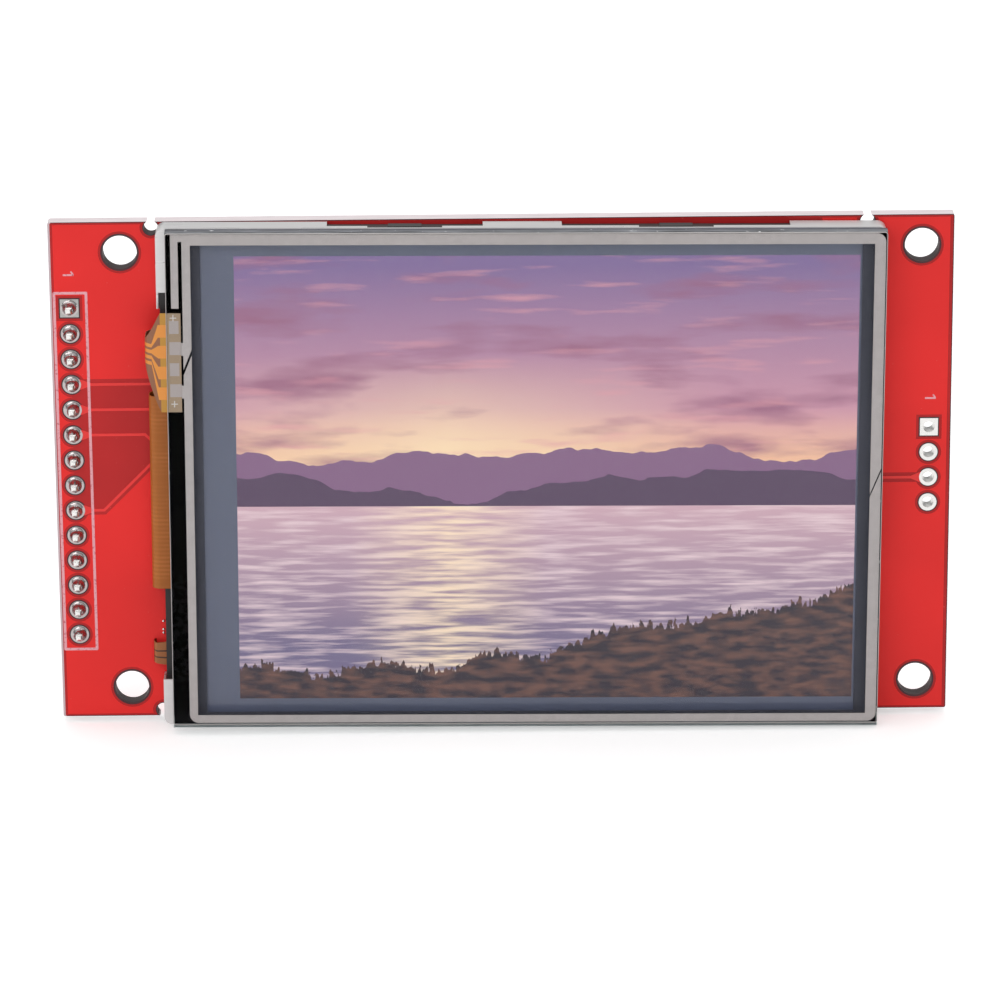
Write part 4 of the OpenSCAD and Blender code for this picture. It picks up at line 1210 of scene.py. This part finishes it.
def touch_flex_material(settings, film_edge):
    """Film with four copper tracks that run together, and its bonded end under the film."""
    shader = Shader("polyimide_orange", settings.track, 0.34, Specular_IOR_Level=0.3)
    along, aside = shader.axes("UV")[:2]
    pitch, first = 2.06, 2.04
    spread = shader.ramp_to(along, film_edge + 1.0, film_edge + 2.4, 1.0, 0.28)
    apart = shader.maths("DIVIDE", aside, spread)
    phase = shader.maths("ADD", shader.maths("DIVIDE", shader.maths("SUBTRACT", apart, first), pitch), 10.5)
    off = shader.maths("ABSOLUTE", shader.maths("SUBTRACT", shader.maths("FRACT", phase), 0.5))
    track = shader.maths("MULTIPLY", shader.ramp_to(off, 0.315, 0.295),
                         shader.between(apart, first - 3 * pitch - 0.8, first + 0.8))
    film = shader.mix(shader.ramp_to(along, film_edge + 0.55, film_edge + 0.65), tuple(settings.film),
                      tuple(settings.film_dark))
    body = shader.mix(track, film, tuple(settings.track))
    pads = bonded_pads(shader, along, aside, film_edge, pitch)
    cross = 0.0
    for high in (first + 1.3, first - 3 * pitch - 1.05):
        upright = shader.maths("MULTIPLY", shader.between(along, 0.66, 0.76),
                               shader.between(aside, high - 0.32, high + 0.32))
        level = shader.maths("MULTIPLY", shader.between(along, 0.40, 1.02),
                             shader.between(aside, high - 0.05, high + 0.05))
        cross = shader.maths("MAXIMUM", shader.maths("MAXIMUM", upright, level), cross)
    bonded = shader.mix(pads, (0.40, 0.30, 0.205), (0.47, 0.42, 0.41))
    bonded = shader.mix(cross, bonded, (0.66, 0.64, 0.62))
    shader.paint(shader.mix(shader.ramp_to(along, film_edge - 0.02, film_edge + 0.02), bonded, body))
    return shader.material


def bonded_pads(shader, along, aside, film_edge, pitch):
    """Silver contacts under the bonded end; every second one runs on into the border."""
    contacts = 0.0
    for i in range(4):
        high = 2.42 - i * (pitch + 0.03)
        nearest = 0.2 if i % 2 == 0 else -1.0
        contact = shader.maths("MULTIPLY", shader.between(along, nearest, film_edge - 0.3),
                               shader.between(aside, high - 0.64, high + 0.64))
        contacts = shader.maths("MAXIMUM", contact, contacts)
    return contacts


def amber_material(name, colour, lines):
    """Amber film over fine copper tracks that run along it."""
    shader = Shader(name, colour, 0.36, Specular_IOR_Level=0.3)
    wave = shader.maths("FRACT", shader.maths("MULTIPLY", shader.axes("UV")[1], lines))
    track = shader.between(wave, 0.25, 0.75, 0.08)
    uv = shader.coordinates.outputs["UV"]
    groups = shader.ramp_to(shader.noise(9.0, 2, vector=uv, stretch=(0.02, 1, 1)), 0.4, 0.6)
    amount = shader.maths("MULTIPLY", shader.maths("MULTIPLY", track, groups), 0.5)
    lighter = tuple(min(1, c * 1.35 + 0.02) for c in colour)
    shader.paint(shader.mix(amount, tuple(colour), lighter))
    return shader.material


def backlight_material(turn):
    """Amber strip with two dark tracks along it, painted darker and redder behind its turn as the shade
    inside the loop.
    """
    shader = Shader("backlight_amber", (0.40, 0.13, 0.05), 0.32, Specular_IOR_Level=0.3)
    along, across = shader.axes("UV")[:2]
    lines = shader.maths("MAXIMUM", shader.between(across, 0.36, 0.43), shader.between(across, 0.66, 0.73))
    front = shader.mix(lines, (0.40, 0.145, 0.050), (0.085, 0.040, 0.025))
    # Painted shade: past the turn the strip is painted dark red, darkest just after the turn, as the shade
    # inside the loop.
    behind = shader.mix(shader.ramp_to(along, turn + 0.2, turn + 2.2), (0.15, 0.010, 0.002),
                        (0.36, 0.075, 0.010))
    shader.paint(shader.mix(shader.ramp_to(along, turn - 0.3, turn), front, behind))
    return shader.material


FLEX_T = 0.1


class TFT_OT_flexes(bpy.types.Operator):
    """Build the three flexible circuits that fold round the panel's left edge"""
    bl_idname = "tft.flexes"
    bl_label = "Flexible circuits"

    def execute(self, context):
        settings = context.scene.tft_flex
        self.touch(settings)
        self.display(settings)
        self.backlight(settings)
        return {"FINISHED"}

    def touch(self, settings):
        """Head, fold and neck of the touch panel's circuit."""
        low, high = panel_box("touch_flex")
        radius = 1.2
        film_edge = panel_box("touch_film")[0].x
        start = high_x_of_head()
        path = fold_path(low.x, high.z, low.z, radius, start, high.x, settings.arc_steps)
        middle_y = (low.y + high.y) / 2 + 1.1
        neck = 1.1
        wide = film_edge - 0.6 - low.x
        rows = []
        for x, z in dense(path, 0.25):
            t = max(0.0, min(1.0, (x - low.x) / wide)) if z > (low.z + high.z) / 2 else 0.0
            above = neck + (high.y - middle_y - neck) * t ** 1.15
            below = neck + (middle_y - low.y - neck) * t ** 0.75
            rows.append([(x, middle_y + above - (above + below) * k / settings.columns, z)
                         for k in range(settings.columns + 1)])
        sheet = sweep(rows)
        layer = sheet.loops.layers.uv.active
        for face in sheet.faces:
            for loop in face.loops:
                loop[layer].uv.y = loop.vert.co.y - middle_y
        thicken(sheet, FLEX_T)
        material = touch_flex_material(settings, start - film_edge)
        add_piece("touch_circuit", sheet, [material], ("touch_flex",),
                  place=PANEL, crease=50)

    def backlight(self, settings):
        """The lamps' circuit: a strip that loops out of the side and runs up under the panel."""
        low, high = panel_box("backlight_flex")
        bottom, wide = low.y, 2.5
        inner = panel_box("backlight_housing")[0].x + 1.2
        front, back = high.z, low.z
        lift = 0.25
        bulge = 0.25
        reach = inner - low.x
        steps = 8
        rows = []
        count = settings.columns // 3
        for i in range(steps + 1):
            t = i / steps
            x = inner - (reach - bulge) * t
            slope = bulge * t * t
            rows.append(((x, bottom + wide - slope * 0.6), (x, bottom + slope),
                         front + lift * math.sin(math.pi * t / 2)))
        half = (front + lift - back) / 2
        for i in range(1, steps):
            a = math.pi * i / steps
            x = low.x + bulge - bulge * math.sin(a)
            z = back + half + half * math.cos(a)
            drop = 0.3 * i / steps
            rows.append(((x, bottom + wide - 0.15 + drop), (x, bottom + 0.25 + drop), z))
        for i in range(steps + 1):
            t = i / steps
            rows.append(((low.x + bulge + (reach - 1.2) * t, bottom + wide + 0.15 + 3.2 * t),
                         (low.x + bulge + reach * t, bottom + 0.55 + 2.6 * t), back))
        lines = [[(*part_way(a, b, k / count), z) for k in range(count + 1)] for a, b, z in rows]
        sheet = sweep(lines)
        thicken(sheet, FLEX_T)
        add_piece("backlight_circuit", sheet, [backlight_material(reach + 0.3)],
                  ("backlight_flex",), place=PANEL, crease=50)
        tin = metal("loop_tin", (0.80, 0.78, 0.76), 0.2)
        blobs = bmesh.new()
        for y in (bottom + 4.4, bottom + 3.55, bottom + 3.2):
            blob = bmesh.new()
            bmesh.ops.create_uvsphere(blob, u_segments=16, v_segments=8, radius=0.14)
            bmesh.ops.translate(blob, verts=blob.verts, vec=(inner - 1.5, y, back + 0.12))
            merge(blobs, blob)
        add_piece("backlight_joints", blobs, [tin], place=PANEL, crease=60)

    def display(self, settings):
        """The panel's own circuit, a plain wide strip."""
        low, high = panel_box("display_flex")
        start = -panel_box("color_filter_glass")[1].x + 2
        path = fold_path(low.x, high.z, low.z, 0.7, start, high.x, settings.arc_steps)
        across = [high.y + (low.y - high.y) * k / settings.columns for k in range(settings.columns + 1)]
        rows = [[(x, y, z) for y in across] for x, z in dense(path, 0.5)]
        sheet = sweep(rows)
        thicken(sheet, FLEX_T)
        material = amber_material("display_amber", tuple(settings.amber), 46)
        add_piece("display_circuit", sheet, [material], ("display_flex",),
                  place=PANEL, crease=50)


def high_x_of_head():
    """Right end of the touch circuit's head, under the film."""
    back = PANEL.inverted()
    points = [back @ v.co for v in bpy.data.objects["touch_flex"].data.vertices]
    top = max(p.z for p in points)
    return max(p.x for p in points if p.z > top - 1.5 * FLEX_T)


def dense(path, step):
    """The same path with its long stretches cut into steps."""
    points = [path[0]]
    for a, b in zip(path, path[1:]):
        count = max(1, math.ceil(math.dist(a, b) / step))
        points += [part_way(a, b, i / count) for i in range(1, count + 1)]
    return points


# ---------------------------------------------------------------- parts on the back

class TFT_OT_back_parts(bpy.types.Operator):
    """Finish the card socket, the chip packages and the small components on the back"""
    bl_idname = "tft.back_parts"
    bl_label = "Parts on the back"

    def execute(self, context):
        steel = sheet_metal("socket_steel", (0.76, 0.76, 0.75), 0.26)
        softened("socket_shell", "card_socket_shell", 0.05 * MM, [steel])
        black = moulded("socket_plastic", (0.020, 0.020, 0.022), 0.45, 1500, 0.1)
        softened("socket_base", "card_socket_base", 0.05 * MM, [black])
        gold = metal("contact_gold", (0.80, 0.58, 0.26), 0.24)
        softened("socket_contacts", "card_contacts", 0.02 * MM, [gold])
        epoxy = moulded("chip_black", (0.022, 0.022, 0.023), 0.55, 4200, 0.25, 0.00004)
        lead = metal("lead_tin", (0.78, 0.78, 0.76), 0.25)
        for node in ("touch_controller", "regulator", "backlight_transistor"):
            softened(node + "_case", node, 0.05 * MM, [epoxy])
            softened(node + "_tin", node + "_leads", 0.015 * MM, [lead])
        glaze = Shader("resistor_black", (0.015, 0.015, 0.017), 0.25)
        varied(glaze, (0.015, 0.015, 0.017), 0.2, 2500)
        softened("resistor_cores", "chip_resistors", 0.03 * MM, [glaze.material])
        clay = Shader("capacitor_tan", (0.36, 0.235, 0.14), 0.5)
        varied(clay, (0.36, 0.235, 0.14), 0.08, 3000)
        softened("capacitor_cores", "chip_capacitors", 0.05 * MM, [clay.material])
        softened("end_caps", "chip_end_caps", 0.03 * MM, [lead])
        return {"FINISHED"}


# ---------------------------------------------------------------- panel and registration

OPERATORS = (TFT_OT_stage, TFT_OT_board, TFT_OT_header, TFT_OT_panel, TFT_OT_picture,
             TFT_OT_touch_panel, TFT_OT_flexes, TFT_OT_back_parts)


class VIEW3D_PT_display_module(bpy.types.Panel):
    """Lists the operators and the settings"""
    bl_label = "Display module"
    bl_space_type = "VIEW_3D"
    bl_region_type = "UI"
    bl_category = "Display module"

    def draw(self, context):
        for operator in OPERATORS:
            self.layout.operator(operator.bl_idname)
        for name, group in GROUPS.items():
            column = self.layout.box().column()
            for prop in group.__annotations__:
                column.prop(getattr(context.scene, name), prop)


def register():
    for name, group in GROUPS.items():
        bpy.utils.register_class(group)
        setattr(bpy.types.Scene, name, PointerProperty(type=group))
    for cls in OPERATORS + (VIEW3D_PT_display_module,):
        bpy.utils.register_class(cls)


def unregister():
    for cls in reversed(OPERATORS + (VIEW3D_PT_display_module,)):
        bpy.utils.unregister_class(cls)
    for name, group in reversed(GROUPS.items()):
        delattr(bpy.types.Scene, name)
        bpy.utils.unregister_class(group)


def main():
    register()
    bpy.ops.tft.stage()
    bpy.ops.tft.board()
    bpy.ops.tft.header()
    bpy.ops.tft.panel()
    bpy.ops.tft.picture()
    bpy.ops.tft.touch_panel()
    bpy.ops.tft.flexes()
    bpy.ops.tft.back_parts()


if __name__ == "__main__":
    main()
